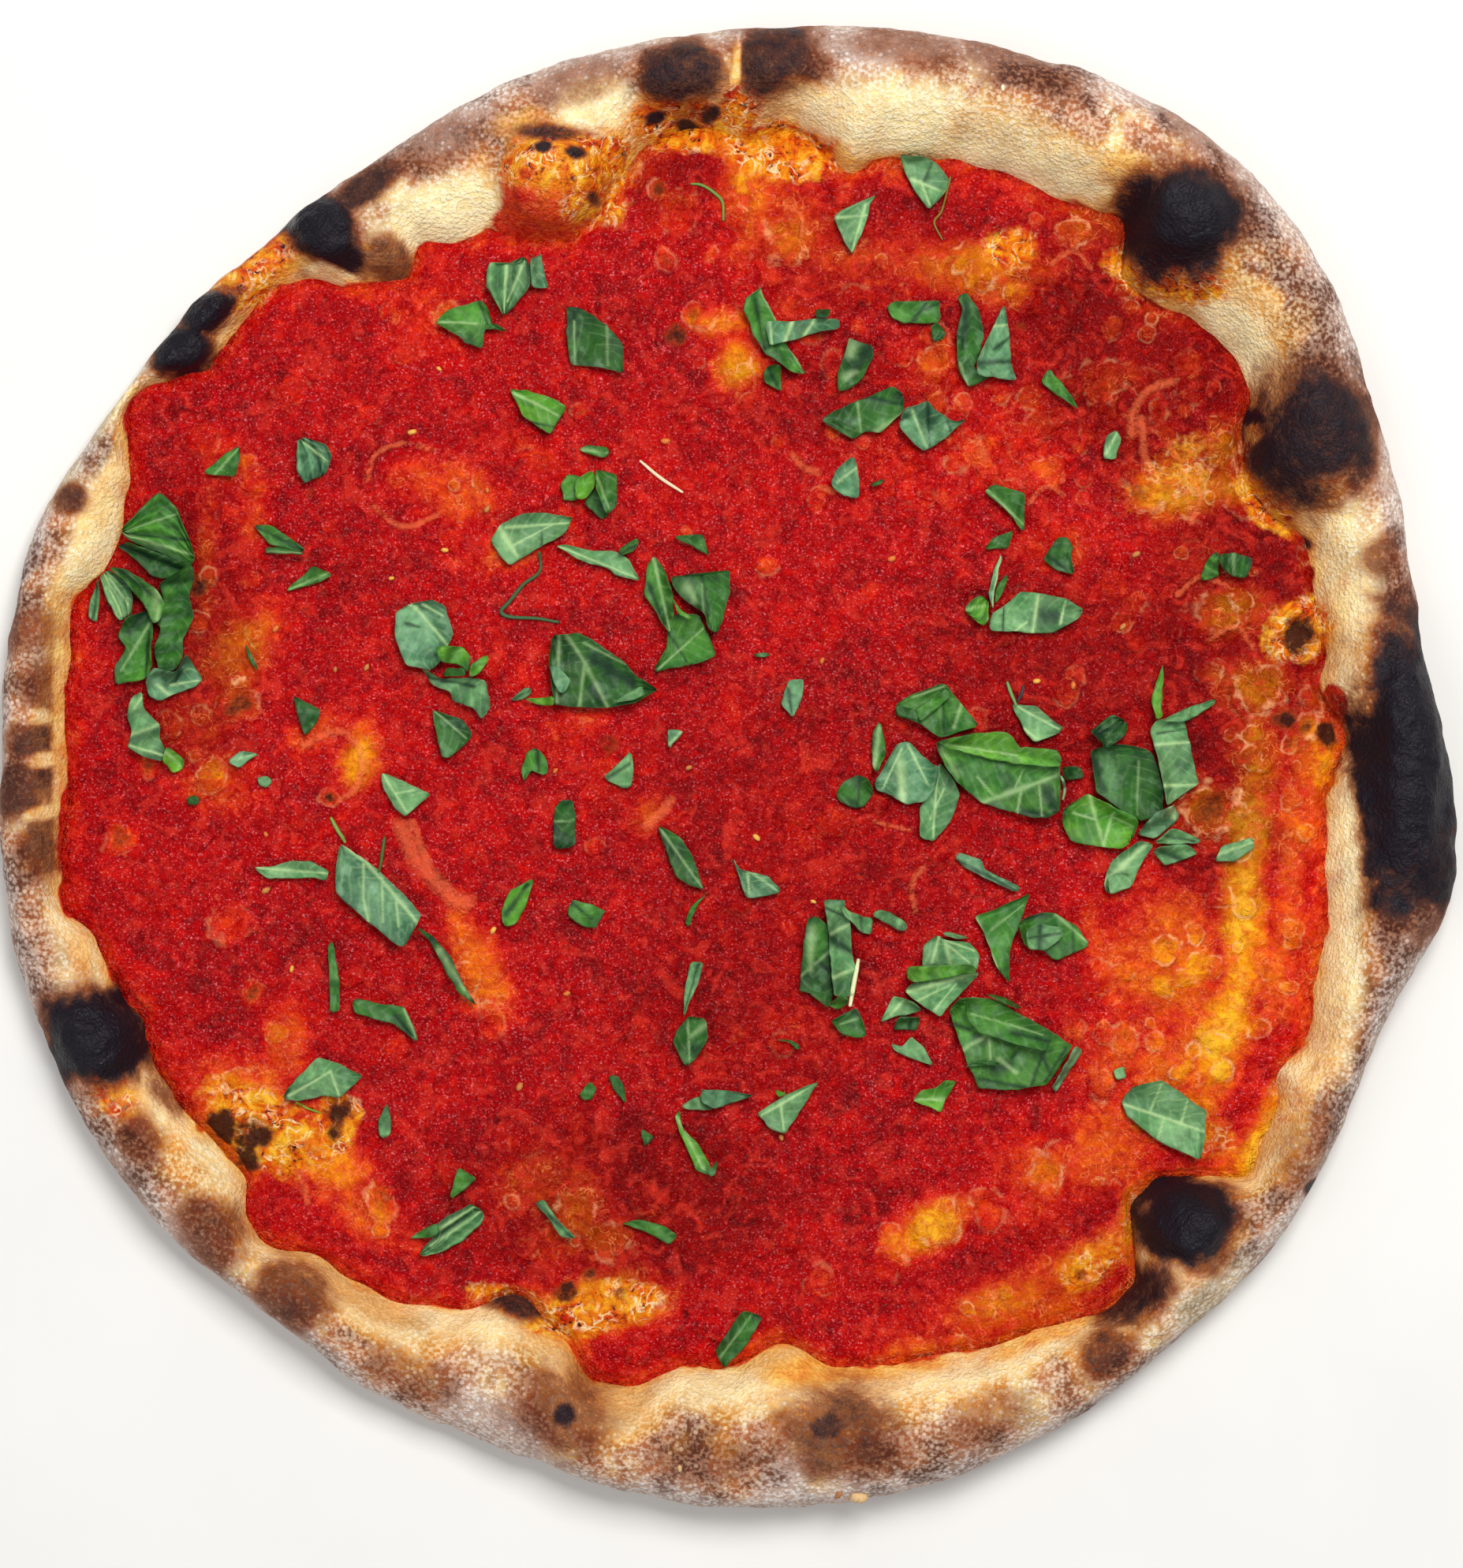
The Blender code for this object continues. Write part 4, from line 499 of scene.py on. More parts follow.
    (0, "d", 0, (1060, 1005, 1070, 991, 1089, 982, 1102, 989, 1109, 1006, 1097, 1022, 1083, 1025,
     1064, 1016), ((1090, 984, 1088, 1022, -0.3),)),
    (30, "m", 0, (1160, 899, 1200, 873, 1208, 882, 1167, 915), ()),
    (-25, "d", 0, (1135, 894, 1160, 900, 1166, 914, 1137, 907), ()),
    (-12, "b", 0, (1188, 940, 1234, 930, 1276, 927, 1284, 934, 1294, 949, 1299, 947, 1341, 951, 1346, 962,
     1345, 972, 1322, 972, 1288, 968, 1250, 961, 1219, 952, 1200, 948), ((1200, 944, 1290, 958, 0.15),)),
    (10, "d", 0, (1345, 972, 1372, 972, 1377, 987, 1353, 990), ()),
    (50, "d", -4, (1382, 928, 1412, 905, 1431, 915, 1431, 930, 1401, 951, 1397, 940),
     ((1390, 932, 1424, 918, -0.4),)),
    (82, "b", 0, (1477, 840, 1477, 878, 1475, 909, 1468, 913, 1462, 886, 1472, 855), ()),
    (25, "p", 0, (1470, 915, 1506, 897, 1544, 885, 1542, 892, 1518, 909, 1502, 915), ()),
    (60, "s", 0, (1443, 1058, 1464, 1031, 1489, 1020, 1498, 1035, 1493, 1043, 1466, 1064),
     ((1484, 1026, 1492, 1038, 0.8),)),
    (-8, "p", 0, (1466, 1066, 1491, 1049, 1527, 1066, 1518, 1070, 1468, 1071),
     ((1480, 1060, 1516, 1067, -0.3),)),
    (-10, "p", 0, (1462, 1079, 1475, 1073, 1506, 1070, 1522, 1082, 1481, 1099),
     ((1474, 1080, 1500, 1090, -0.8),)),
    (0, "p", 0, (1404, 1112, 1420, 1106, 1438, 1116, 1436, 1124, 1408, 1135), ()),
    (18, "p", 0, (1542, 1093, 1552, 1073, 1590, 1061, 1594, 1075, 1567, 1093),
     ((1546, 1084, 1592, 1068, 0.15),)),
    (-30, "s", 0, (1212, 1089, 1217, 1081, 1246, 1091, 1250, 1102, 1294, 1125, 1292, 1132, 1250, 1114,
     1227, 1102), ((1216, 1092, 1290, 1130, -0.35),)),
    (-40, "p", 0, (1066, 1146, 1079, 1157, 1095, 1163, 1108, 1164, 1106, 1185, 1092, 1183, 1082, 1171,
     1071, 1163), ((1092, 1164, 1094, 1182, -0.3),)),
    (-25, "p", 3, (1105, 1159, 1116, 1153, 1133, 1159, 1150, 1171, 1151, 1179, 1142, 1181, 1121, 1170),
     ()),
    (0, "m", 0, (1050, 1274, 1066, 1260, 1075, 1264, 1076, 1274, 1063, 1281), ()),
    (-10, "d", 0, (1053, 1295, 1087, 1278, 1093, 1290, 1100, 1314, 1089, 1317, 1066, 1312),
     ((1066, 1300, 1090, 1292, 0.15),)),
    (-3, "b", 2, (1150, 1227, 1170, 1225, 1233, 1223, 1238, 1232, 1189, 1243, 1160, 1246, 1150, 1242), ()),
    (-10, "p", 0, (1195, 1181, 1210, 1183, 1232, 1191, 1215, 1191, 1199, 1187), ()),
    (25, "p", 0, (1116, 1298, 1133, 1263, 1147, 1266, 1160, 1272, 1170, 1282, 1152, 1287, 1133, 1291),
     ((1130, 1288, 1146, 1270, 0.25),)),
    (0, "d", 0, (1133, 1308, 1139, 1290, 1168, 1290, 1164, 1308, 1147, 1306),
     ((1156, 1292, 1154, 1306, -0.4),)),
    (-35, "p", 0, (1129, 1324, 1148, 1329, 1156, 1315, 1173, 1329, 1185, 1353, 1157, 1344, 1136, 1334),
     ()),
    (25, "b", 0, (1157, 1397, 1170, 1384, 1187, 1381, 1199, 1371, 1214, 1372, 1199, 1397, 1195, 1414,
     1181, 1405), ((1160, 1396, 1198, 1396, 0.25),)),
    (-15, "p", 0, (1301, 1180, 1317, 1170, 1351, 1178, 1348, 1188, 1327, 1205, 1304, 1204),
     ((1320, 1174, 1318, 1204, -0.5), (1304, 1190, 1346, 1184, -0.3))),
    (-30, "m", 0, (1222, 1266, 1252, 1266, 1272, 1273, 1288, 1283, 1333, 1308, 1335, 1315, 1325, 1332,
     1306, 1329, 1272, 1319, 1241, 1310, 1225, 1287), ((1232, 1286, 1322, 1312, 0.15),
     (1284, 1310, 1330, 1320, -0.4))),
    (56, "s", 0, (1364, 1325, 1375, 1333, 1340, 1388, 1335, 1379, 1337, 1375), ()),
    (5, "d", 0, (1222, 1354, 1240, 1346, 1262, 1345, 1270, 1350, 1240, 1353), ()),
    (-25, "d", 0, (1248, 1259, 1278, 1266, 1297, 1278, 1293, 1280, 1267, 1270), ()),
    (5, "p", 0, (1413, 1358, 1428, 1353, 1430, 1368, 1417, 1370), ()),
    (65, "s", 0, (990, 893, 1000, 862, 1020, 860, 1018, 885, 1005, 910), ((1000, 872, 1004, 902, -0.3),)),
    (0, "d", 0, (954, 829, 970, 825, 978, 830, 966, 833), ()),
)

# Tomato seeds and flecks that lie on the sauce: x, y, turn.
SEEDS = (
    (-70, 74, 20), (-53.3, 61.1, 100), (-53.3, 56.9, 60), (-62.7, 47.9, 0), (-100.1, 30.6, 45),
    (-86.9, 21.6, 90), (-74.5, 41.7, 10), (-102.2, -14.8, 120), (-102.4, -27.3, 30), (-96.6, -44.6, 80),
    (-35.7, -50, 15), (-46.2, -70.6, 70), (6.1, -15.5, 130), (-38.3, -0.8, 50), (-8.8, -0.1, 25),
    (18.7, -29.7, 160), (20.6, 23.5, 75), (11.6, -81.8, 100), (-64, 88, 140), (36, 46, 10), (90, 47, 30),
    (68, 19, 10), (76, 18, 90), (87, 31, 45), (-52, -36, 60), (-14, 72, 0), (-80, 22, 60),
)

# Thin stems and curls in picture units: points on the way, thickness in mm, colour.
STEMS = (
    (((683, 699), (683, 723), (662, 740), (645, 761), (634, 774), (645, 781), (679, 783), (707, 788)), 0.9,
     (62, 92, 58)),
    (((811, 582), (836, 603), (865, 622)), 0.8, (232, 206, 172)),
    (((876, 229), (890, 231), (906, 241), (916, 253), (917, 276)), 0.7, (104, 140, 60)),
    (((417, 1037), (426, 1053), (436, 1068)), 0.9, (120, 150, 70)),
    (((485, 1062), (482, 1084), (479, 1105)), 0.8, (74, 96, 44)),
    (((1279, 864), (1283, 876), (1290, 894)), 0.8, (110, 148, 84)),
    (((1300, 868), (1297, 880), (1292, 888)), 0.7, (52, 58, 66)),
    (((1206, 222), (1196, 262), (1186, 278), (1196, 300)), 0.5, (126, 110, 40)),
    (((374, 1399), (386, 1407), (403, 1413)), 0.5, (116, 150, 40)),
    (((1089, 1217), (1083, 1248), (1078, 1276)), 1.1, (222, 226, 176)),
    (((1346, 984), (1352, 1000), (1350, 1014)), 0.7, (120, 168, 120)),
)

# Crumbs on the rim: angle, place across the rim (0 at the sauce, 1 outside), size in mm.
CRUMBS = (
    (280.1, 0.95, 4.2), (278.6, 0.9, 2), (68, 0.6, 1.5), (332, 0.6, 1.7), (244, 0.6, 1.8), (60, 0.7, 1.6),
    (266, 0.7, 1.6),
)

# ---------------------------------------------------------------- helpers

LATTICE = 64                  # cells along each side of a block of random numbers
LATTICES = {}


def lattice(seed):
    """A block of random numbers between -1 and 1."""
    if seed not in LATTICES:
        LATTICES[seed] = np.random.default_rng(seed).uniform(-1.0, 1.0, (LATTICE,) * 3)
    return LATTICES[seed]


def turn_matrix(first, second):
    """A turn about Z, then about X, which keeps the noise's grid from lining up with the pizza."""
    a, b = math.cos(first), math.sin(first)
    c, d = math.cos(second), math.sin(second)
    return np.array(((a, -b, 0.0), (b * c, a * c, -d), (b * d, a * d, c)))


def noise(points, size, seed):
    """Smooth noise between -1 and 1 at (n, 3) points, with lumps of about the size given."""
    grid = lattice(seed)
    scaled = points @ turn_matrix(0.7 + 1.3 * seed, 0.6 + 0.2 * math.sin(seed)) / size
    cell = np.floor(scaled).astype(int)
    part = scaled - cell
    part = part ** 3 * (part * (part * 6.0 - 15.0) + 10.0)
    value = np.zeros(len(points))
    for corner in itertools.product((0, 1), repeat=3):
        weight = np.prod(np.where(np.array(corner) == 1, part, 1.0 - part), axis=1)
        index = (cell + np.array(corner)) % LATTICE
        value += weight * grid[index[:, 0], index[:, 1], index[:, 2]]
    return value


def fractal(points, size, seed, octaves=3, gain=0.55):
    """Noise summed over halving sizes, still about -1 to 1."""
    value = np.zeros(len(points))
    weight = 1.0
    whole = 0.0
    for octave in range(octaves):
        value += weight * noise(points, size / 2.0 ** octave, seed + octave)
        whole += weight
        weight *= gain
    return value / whole * 1.5


def noise_sum(points, *layers):
    """The sum of some layers of noise: (height, size, seed)."""
    return sum(height * noise(points, size, seed) for height, size, seed in layers)


def smooth(low, high, value):
    """Ease from 0 at low to 1 at high. Low may be the larger."""
    share = np.clip((value - low) / (high - low), 0.0, 1.0)
    return share * share * (3.0 - 2.0 * share)


def linear(red, green, blue):
    """A colour given as 0 to 255 on screen, as linear light."""
    value = np.array((red, green, blue)) / 255.0
    return np.where(value <= 0.04045, value / 12.92, ((value + 0.055) / 1.055) ** 2.4)


def mix(colours, target, mask):
    """Move colours towards a target where the mask is 1."""
    mask = np.clip(mask, 0.0, 1.0)[:, None]
    return colours * (1.0 - mask) + np.asarray(target) * mask


def ramp(value, stops):
    """Colours for values, from (value, colour) stops."""
    places = [place for place, colour in stops]
    channels = [np.interp(value, places, [colour[k] for place, colour in stops]) for k in range(3)]
    return np.stack(channels, axis=1)


def periodic(pairs, degrees):
    """Read (angle, value) pairs round the circle, easing between them."""
    angles = np.array([pair[0] for pair in pairs], float)
    values = np.array([pair[1] for pair in pairs], float)
    angles = np.concatenate((angles[-1:] - 360.0, angles, angles[:1] + 360.0))
    values = np.concatenate((values[-1:], values, values[:1]))
    degrees = np.mod(degrees, 360.0)
    index = np.clip(np.searchsorted(angles, degrees, side="right") - 1, 0, len(angles) - 2)
    share = (degrees - angles[index]) / (angles[index + 1] - angles[index])
    ease = 0.5 - 0.5 * np.cos(np.pi * share)
    return values[index] + (values[index + 1] - values[index]) * ease


def smooth_curve(a, b, c, d, share):
    """A smooth curve from b to c, with a before them and d after."""
    return b + 0.5 * share * (c - a + share * (2 * a - 5 * b + 4 * c - d + share * (3 * b - a - 3 * c + d)))


def outline_radius(degrees):
    """Outer radius of the dough: a smooth curve through the even steps."""
    radii = np.array(OUTLINE_RADII)
    count = len(radii)
    place = np.mod(degrees, 360.0) * count / 360.0
    index = np.floor(place).astype(int)
    return smooth_curve(*(radii[(index + k) % count] for k in (-1, 0, 1, 2)), place - index)


def sauce_radius(degrees):
    """Radius where the sauce meets the rim, with its corners rounded off."""
    return sum(periodic(SAUCE_EDGE, degrees + turn) for turn in (-0.7, 0.0, 0.7)) / 3.0


def curve_points(path, steps):
    """Points along a smooth curve through the points given."""
    given = np.array(path, float)
    place = np.linspace(0.0, len(given) - 1.0, steps)
    index = np.clip(place.astype(int), 0, len(given) - 2)
    padded = np.concatenate((2 * given[:1] - given[1:2], given, 2 * given[-1:] - given[-2:-1]))
    return smooth_curve(*(padded[index + k] for k in range(4)), (place - index)[:, None])


def zone_mask(points, rows, seed, ragged=0.26, size=7.0, reach=1.4):
    """The strongest of some ragged ovals at each point."""
    wobble = ragged * fractal(points, size, seed, 4)
    mask = np.zeros(len(points))
    for row in rows:
        distance = np.sqrt(in_oval(points[:, 0], points[:, 1], row)) + wobble
        mask = np.maximum(mask, row[5] * smooth(reach, 0.6, distance))
    return mask


def in_oval(x, y, row):
    """Squared distance from an oval's middle, 1 at its edge."""
    centre_x, centre_y, half_length, half_width, turn = row[:5]
    angle = math.radians(turn)
    along = (x - centre_x) * math.cos(angle) + (y - centre_y) * math.sin(angle)
    across = (y - centre_y) * math.cos(angle) - (x - centre_x) * math.sin(angle)
    return (along / half_length) ** 2 + (across / half_width) ** 2


def bubble_rise(x, y, rows):
    """Rise of rounded bubbles."""
    rise = np.zeros(len(x))
    for row in rows:
        inside = np.clip(1.0 - in_oval(x, y, row), 0.0, 1.0)
        rise += row[5] * np.sqrt(inside) * np.minimum(1.0, 1.6 * inside)
    return rise


def new_mesh_object(name, points, faces, smooth_shade=True):
    """A mesh object from points in millimetres."""
    mesh = bpy.data.meshes.new(name)
    mesh.from_pydata(np.asarray(points) * MM, [], faces)
    mesh.validate()
    if smooth_shade:
        mesh.shade_smooth()
    obj = bpy.data.objects.new(name, mesh)
    bpy.context.scene.collection.objects.link(obj)
    return obj


def add_colour(obj, name, colours):
    """Store linear colours on the vertices."""
    layer = obj.data.attributes.new(name, "FLOAT_COLOR", "POINT")
    full = np.ones((len(obj.data.vertices), 4), np.float32)
    full[:, :3] = colours
    layer.data.foreach_set("color", full.ravel())


def add_values(obj, **layers):
    """Store numbers on the vertices, one layer for each name."""
    for name, values in layers.items():
        layer = obj.data.attributes.new(name, "FLOAT", "POINT")
        layer.data.foreach_set("value", np.asarray(values, np.float32))


def grid_faces(rows, columns):
    """Faces of a grid of points, and the indexes round its border in order."""
    index = np.arange(rows * columns).reshape(rows, columns)
    quads = np.stack((index[:-1, :-1], index[1:, :-1], index[1:, 1:], index[:-1, 1:]), axis=-1)
    border = np.concatenate((index[:-1, 0], index[-1, :-1], index[:0:-1, -1], index[0, :0:-1]))
    return quads.reshape(-1, 4), border


# ---------------------------------------------------------------- the dough's form

def polar(x, y):
    """Radius and angle in degrees."""
    return np.hypot(x, y), np.degrees(np.arctan2(y, x))


def from_polar(radius, degrees):
    """x and y of a radius and an angle in degrees."""
    angle = np.radians(degrees)
    return radius * np.cos(angle), radius * np.sin(angle)


def flat_points(x, y):
    """Points at height 0."""
    return np.stack((x, y, np.zeros(len(x))), axis=1)


def rim_share(x, y):
    """Place across the rim: 0 at the sauce, 1 at the outer edge."""
    radius, degrees = polar(x, y)
    edge = sauce_radius(degrees)
    return (radius - edge) / (outline_radius(degrees) - edge)


# Lumps on the rim: height, size and seed.
RIM_RELIEF = ((0.8, 19.0, 11), (0.45, 9.0, 12), (0.22, 4.0, 13), (0.10, 2.0, 14))


def widest_height(degrees):
    """Height at which the rim is widest."""
    return FLOOR_HEIGHT + EQUATOR_SHARE * (periodic(RIM_HEIGHTS, degrees) - FLOOR_HEIGHT)


def dough_top(x, y):
    """Height of the dough's upper surface inside the widest place."""
    share = np.clip(rim_share(x, y), 0.0, 1.0)
    rise = periodic(RIM_HEIGHTS, polar(x, y)[1]) - FLOOR_HEIGHT
    climb = np.sin(0.5 * np.pi * np.clip(share / CREST_PLACE, 0.0, 1.0)) ** 0.85
    out = np.clip((share - CREST_PLACE) / (1.0 - CREST_PLACE), 0.0, 1.0)
    fall = EQUATOR_SHARE + (1.0 - EQUATOR_SHARE) * np.sqrt(1.0 - out ** 2)
    height = rise * np.where(share < CREST_PLACE, climb, fall)
    fade = np.clip(height / 4.0, 0.0, 1.0)
    flat = flat_points(x, y)
    burnt = smooth(0.5, 0.9, char_depth(flat))
    cracks = 0.25 - 0.9 * np.abs(noise(flat, 4.2, 24)) + 0.3 * noise(flat, 1.8, 25)
    height += fade * (noise_sum(flat, *RIM_RELIEF) + bubble_rise(x, y, BLISTERS) + burnt * cracks)
    return FLOOR_HEIGHT + height


CRUST_STEPS = 1300
INNER_BANDS = 30
OUTER_BANDS = 20
UNDER_BANDS = 7
WELL_SHARES = (0.35, 0.7, 0.93)
UNDER_SHARES = (0.93, 0.8, 0.6, 0.4, 0.2)


def rim_ring(degrees, share, height_share=None):
    """Points of one ring of the rim: on its upper half, or below at a share of the widest place's height."""
    edge = sauce_radius(degrees)
    x, y = from_polar(edge + share * (outline_radius(degrees) - edge), degrees)
    if height_share is None:
        return np.stack((x, y, dough_top(x, y)), axis=1)
    return np.stack((x, y, widest_height(degrees) * height_share), axis=1)


def make_crust():
    """The dough: well floor, rim and underside as one closed mesh."""
    degrees = np.arange(CRUST_STEPS) * 360.0 / CRUST_STEPS
    rings = []
    for share in WELL_SHARES:
        x, y = from_polar(share * sauce_radius(degrees), degrees)
        rings.append(np.stack((x, y, np.full(CRUST_STEPS, FLOOR_HEIGHT)), axis=1))
    for step in range(INNER_BANDS + 1):
        rings.append(rim_ring(degrees, CREST_PLACE * (step / INNER_BANDS) ** 1.05))
    for step in range(1, OUTER_BANDS + 1):
        angle = 0.5 * math.pi * (1.0 - step / OUTER_BANDS)
        rings.append(rim_ring(degrees, CREST_PLACE + (1.0 - CREST_PLACE) * math.cos(angle)))
    upper = len(rings)
    for step in range(1, UNDER_BANDS + 1):
        angle = 0.5 * math.pi * step / UNDER_BANDS
        share = FLAT_PLACE + (1.0 - FLAT_PLACE) * math.cos(angle)
        rings.append(rim_ring(degrees, share, 1.0 - math.sin(angle)))
    flat = rings[-1].copy()
    rings += [flat * share for share in UNDER_SHARES]
    under = np.repeat(np.arange(len(rings)) >= upper, CRUST_STEPS).astype(float)
    points = np.concatenate(rings + [[(0.0, 0.0, FLOOR_HEIGHT), (0.0, 0.0, 0.0)]])
    points[:, :2] += outward_relief(points)
    index = np.arange(len(under)).reshape(-1, CRUST_STEPS)
    after = np.roll(index, -1, axis=1)
    faces = np.stack((index[:-1], index[1:], after[1:], after[:-1]), axis=-1).reshape(-1, 4).tolist()
    for step, following in zip(index[0].tolist(), after[0].tolist()):
        faces.append((len(under), step, following))
    for step, following in zip(index[-1].tolist(), after[-1].tolist()):
        faces.append((len(under) + 1, following, step))
    obj = new_mesh_object("baked_dough", points, faces)
    paint_crust(obj, points, np.concatenate((under, (0.0, 1.0))))
    return obj


def outward_relief(points):
    """Sideways unevenness of the rim's outer side."""
    radius = np.hypot(points[:, 0], points[:, 1])
    fade = smooth(0.72, 1.0, rim_share(points[:, 0], points[:, 1])) * smooth(0.0, 3.0, points[:, 2])
    relief = noise_sum(points, (0.5, 11.0, 21), (0.28, 4.5, 22), (0.14, 2.0, 23))
    return points[:, :2] * (fade * (relief - 0.25) / np.maximum(radius, 1.0))[:, None]


# ---------------------------------------------------------------- the dough's colours

CREAM = linear(250, 234, 184)
GOLD = linear(222, 168, 86)
WARM_CREAM = linear(240, 208, 146)
TOAST = linear(196, 144, 108)
BAKED_BROWN = linear(126, 86, 68)
FLOURY = linear(212, 192, 180)
UNDER_DOUGH = linear(206, 172, 124)
SIDE_TAN = linear(208, 162, 118)

# Colours across the rim, from the sauce outwards.
ACROSS_RIM = ((-0.05, GOLD), (0.08, GOLD), (0.20, WARM_CREAM), (0.34, GOLD), (0.46, TOAST), (0.70, TOAST),
              (0.86, FLOURY))


def char_depth(points):
    """Depth of char on the dough, 0 to 1, with ragged edges."""
    depth = zone_mask(points, CHARS, 31, 0.30, 7.0, 1.6)
    return depth * (1.0 - zone_mask(points, CREASES, 32, 0.2, 4.0))


def paint_crust(obj, points, under):
    """Colour the dough by its place on the rim, its zones and its char."""
    radius, degrees = polar(points[:, 0], points[:, 1])
    inside = radius - sauce_radius(degrees)
    share = rim_share(points[:, 0], points[:, 1]) + 0.17 * fractal(points, 17.0, 41, 3)
    colour = ramp(share, ACROSS_RIM)
    patches = fractal(points, 12.0, 43, 4, 0.65)
    cream = smooth(0.02, 0.55, patches) * smooth(0.1, 0.35, share) * smooth(0.95, 0.6, share)
    colour = mix(colour, CREAM, 0.7 * cream)
    brown = smooth(0.02, 0.6, -patches) * smooth(0.3, 0.5, share) * smooth(1.04, 0.85, share)
    colour = mix(colour, BAKED_BROWN, 0.8 * brown)
    golden = smooth(0.0, 0.5, fractal(points, 7.0, 51, 4, 0.6))
    pale = zone_mask(points, PALE_ZONES, 44)
    colour = mix(colour, CREAM, 0.9 * pale)
    colour = mix(colour, GOLD, (0.6 - 0.35 * pale) * golden * smooth(0.75, 0.4, share))
    above = points[:, 2] - widest_height(degrees)
    tan = smooth(2.4, -2.0, above) * smooth(0.8, 0.95, rim_share(points[:, 0], points[:, 1]))
    colour = mix(colour, SIDE_TAN, 0.62 * tan)
    edge_wobble = noise_sum(points, (1.5, 8.0, 45), (0.9, 3.0, 46))
    shore = 0.78 * smooth(3.2, 0.0, inside + edge_wobble)
    stain = np.maximum(shore, zone_mask(points, STAIN_ZONES, 47, 0.26, 7.0, 1.6))
    shore = smooth(1.2, -0.4, inside + 0.7 * edge_wobble)
    sauced = np.maximum(shore, zone_mask(points, SAUCED_ZONES, 49, 0.12, 6.0, 1.15))
    low = smooth(4.0, 1.0, points[:, 2])
    add_colour(obj, "tone", mix(colour, UNDER_DOUGH, under * smooth(3.5, 0.5, points[:, 2])))
    add_values(obj, char=char_depth(points) * (1.0 - under * low),
               speckle=smooth(0.10, 0.42, share) * (1.0 - 0.6 * pale),
               stain=stain * (1.0 - 0.6 * zone_mask(points, PALE_ZONES[:3], 50)) * (1.0 - under),
               sauced=sauced * (1.0 - under), web=web_share(points) * (1.0 - under),
               oil=sauce_heat(points), deep=deep_share(points), under=under * smooth(4.0, 0.5, points[:, 2]))


# ---------------------------------------------------------------- the sauce

BUBBLE_SEED = 77
ZONE_BUBBLES = 0.025          # bubbles for each square millimetre of half length by half width
STRAY_BUBBLES = 150           # small bubbles anywhere on the sauce
STRAY_REACH = 138.0
UPPER_BUBBLES = 150           # more of them at the upper right
UPPER_MIDDLE = (70.0, 74.0)
UPPER_SPREAD = (32.0, 24.0)


def scatter_bubbles():
    """Small bubbles in the sauce, thickest where oil shows: x, y, radius, warmth."""
    draw = np.random.default_rng(BUBBLE_SEED)
    rows = []
    for x, y, half_length, half_width, turn, _ in OIL_ZONES:
        angle = math.radians(turn)
        for _ in range(int(1 + half_length * half_width * ZONE_BUBBLES)):
            along = draw.normal(0.0, 0.8) * half_length
            across = draw.normal(0.0, 0.8) * half_width
            rows.append((x + along * math.cos(angle) - across * math.sin(angle),
                         y + along * math.sin(angle) + across * math.cos(angle),
                         draw.uniform(1.1, 3.0), draw.uniform(0.1, 0.4)))
    for _ in range(STRAY_BUBBLES):
        angle = draw.uniform(0.0, math.tau)
        radius = STRAY_REACH * math.sqrt(draw.uniform(0.0, 1.0))
        rows.append((radius * math.cos(angle), radius * math.sin(angle), draw.uniform(1.4, 4.4),
                     draw.uniform(0.0, 0.22)))
    for _ in range(UPPER_BUBBLES):
        x, y = (draw.normal(middle, width) for middle, width in zip(UPPER_MIDDLE, UPPER_SPREAD))
        rows.append((x, y, draw.uniform(1.6, 3.8), draw.uniform(0.0, 0.42)))
    return rows


BUBBLES = scatter_bubbles()


def near(points, x, y, reach):
    """Indexes of the points within reach of a place."""
    return np.nonzero((np.abs(points[:, 0] - x) < reach) & (np.abs(points[:, 1] - y) < reach))[0]


# Lumps: height, size and seed. Then the one large bubble: x, y, half length, half width, turn, rise.
SAUCE_RELIEF = ((0.5, 24.0, 51), (0.42, 10.0, 52), (0.36, 5.0, 53), (0.12, 1.7, 55))
BIG_BUBBLE = (100, 76, 13, 12, 0, 2.0)


def sauce_relief(flat):
    """Height of the sauce's lumps, bubbles and pools."""
    x, y = flat[:, 0], flat[:, 1]
    relief = noise_sum(flat, *SAUCE_RELIEF) + 0.26 * np.abs(noise(flat, 2.8, 54))
    zones = [(row[0], row[1], 1.15 * row[2], 1.15 * row[3], row[4], 0.9 * row[5]) for row in OIL_ZONES]
    relief += 0.8 * np.minimum(bubble_rise(x, y, zones), 2.6) + bubble_rise(x, y, (BIG_BUBBLE,))
    for bubble_x, bubble_y, size, _ in BUBBLES:
        found = near(flat, bubble_x, bubble_y, size)
        distance = np.hypot(x[found] - bubble_x, y[found] - bubble_y) / size
        inside = np.clip(1.0 - distance ** 2, 0.0, 1.0)
        relief[found] += 0.26 * size * np.sqrt(inside) * np.minimum(1.0, 2.0 * inside)
    for ring_x, ring_y, size, _ in SAUCE_RINGS:
        found = near(flat, ring_x, ring_y, 1.6 * size)
        distance = np.hypot(x[found] - ring_x, y[found] - ring_y) / size
        relief[found] += 0.16 * size * np.exp(-((distance - 0.75) / 0.28) ** 2)
        relief[found] -= 0.05 * size * smooth(0.6, 0.2, distance)
    return relief


# How oily the sauce is along its edge: angle in degrees and heat.
RIM_OIL = (
    (0, 0.3), (20, 0.4), (40, 0.3), (60, 0.3), (75, 0.55), (95, 0.5), (130, 0.3), (160, 0.25), (210, 0.3),
    (250, 0.45), (290, 0.5), (330, 0.6),
)


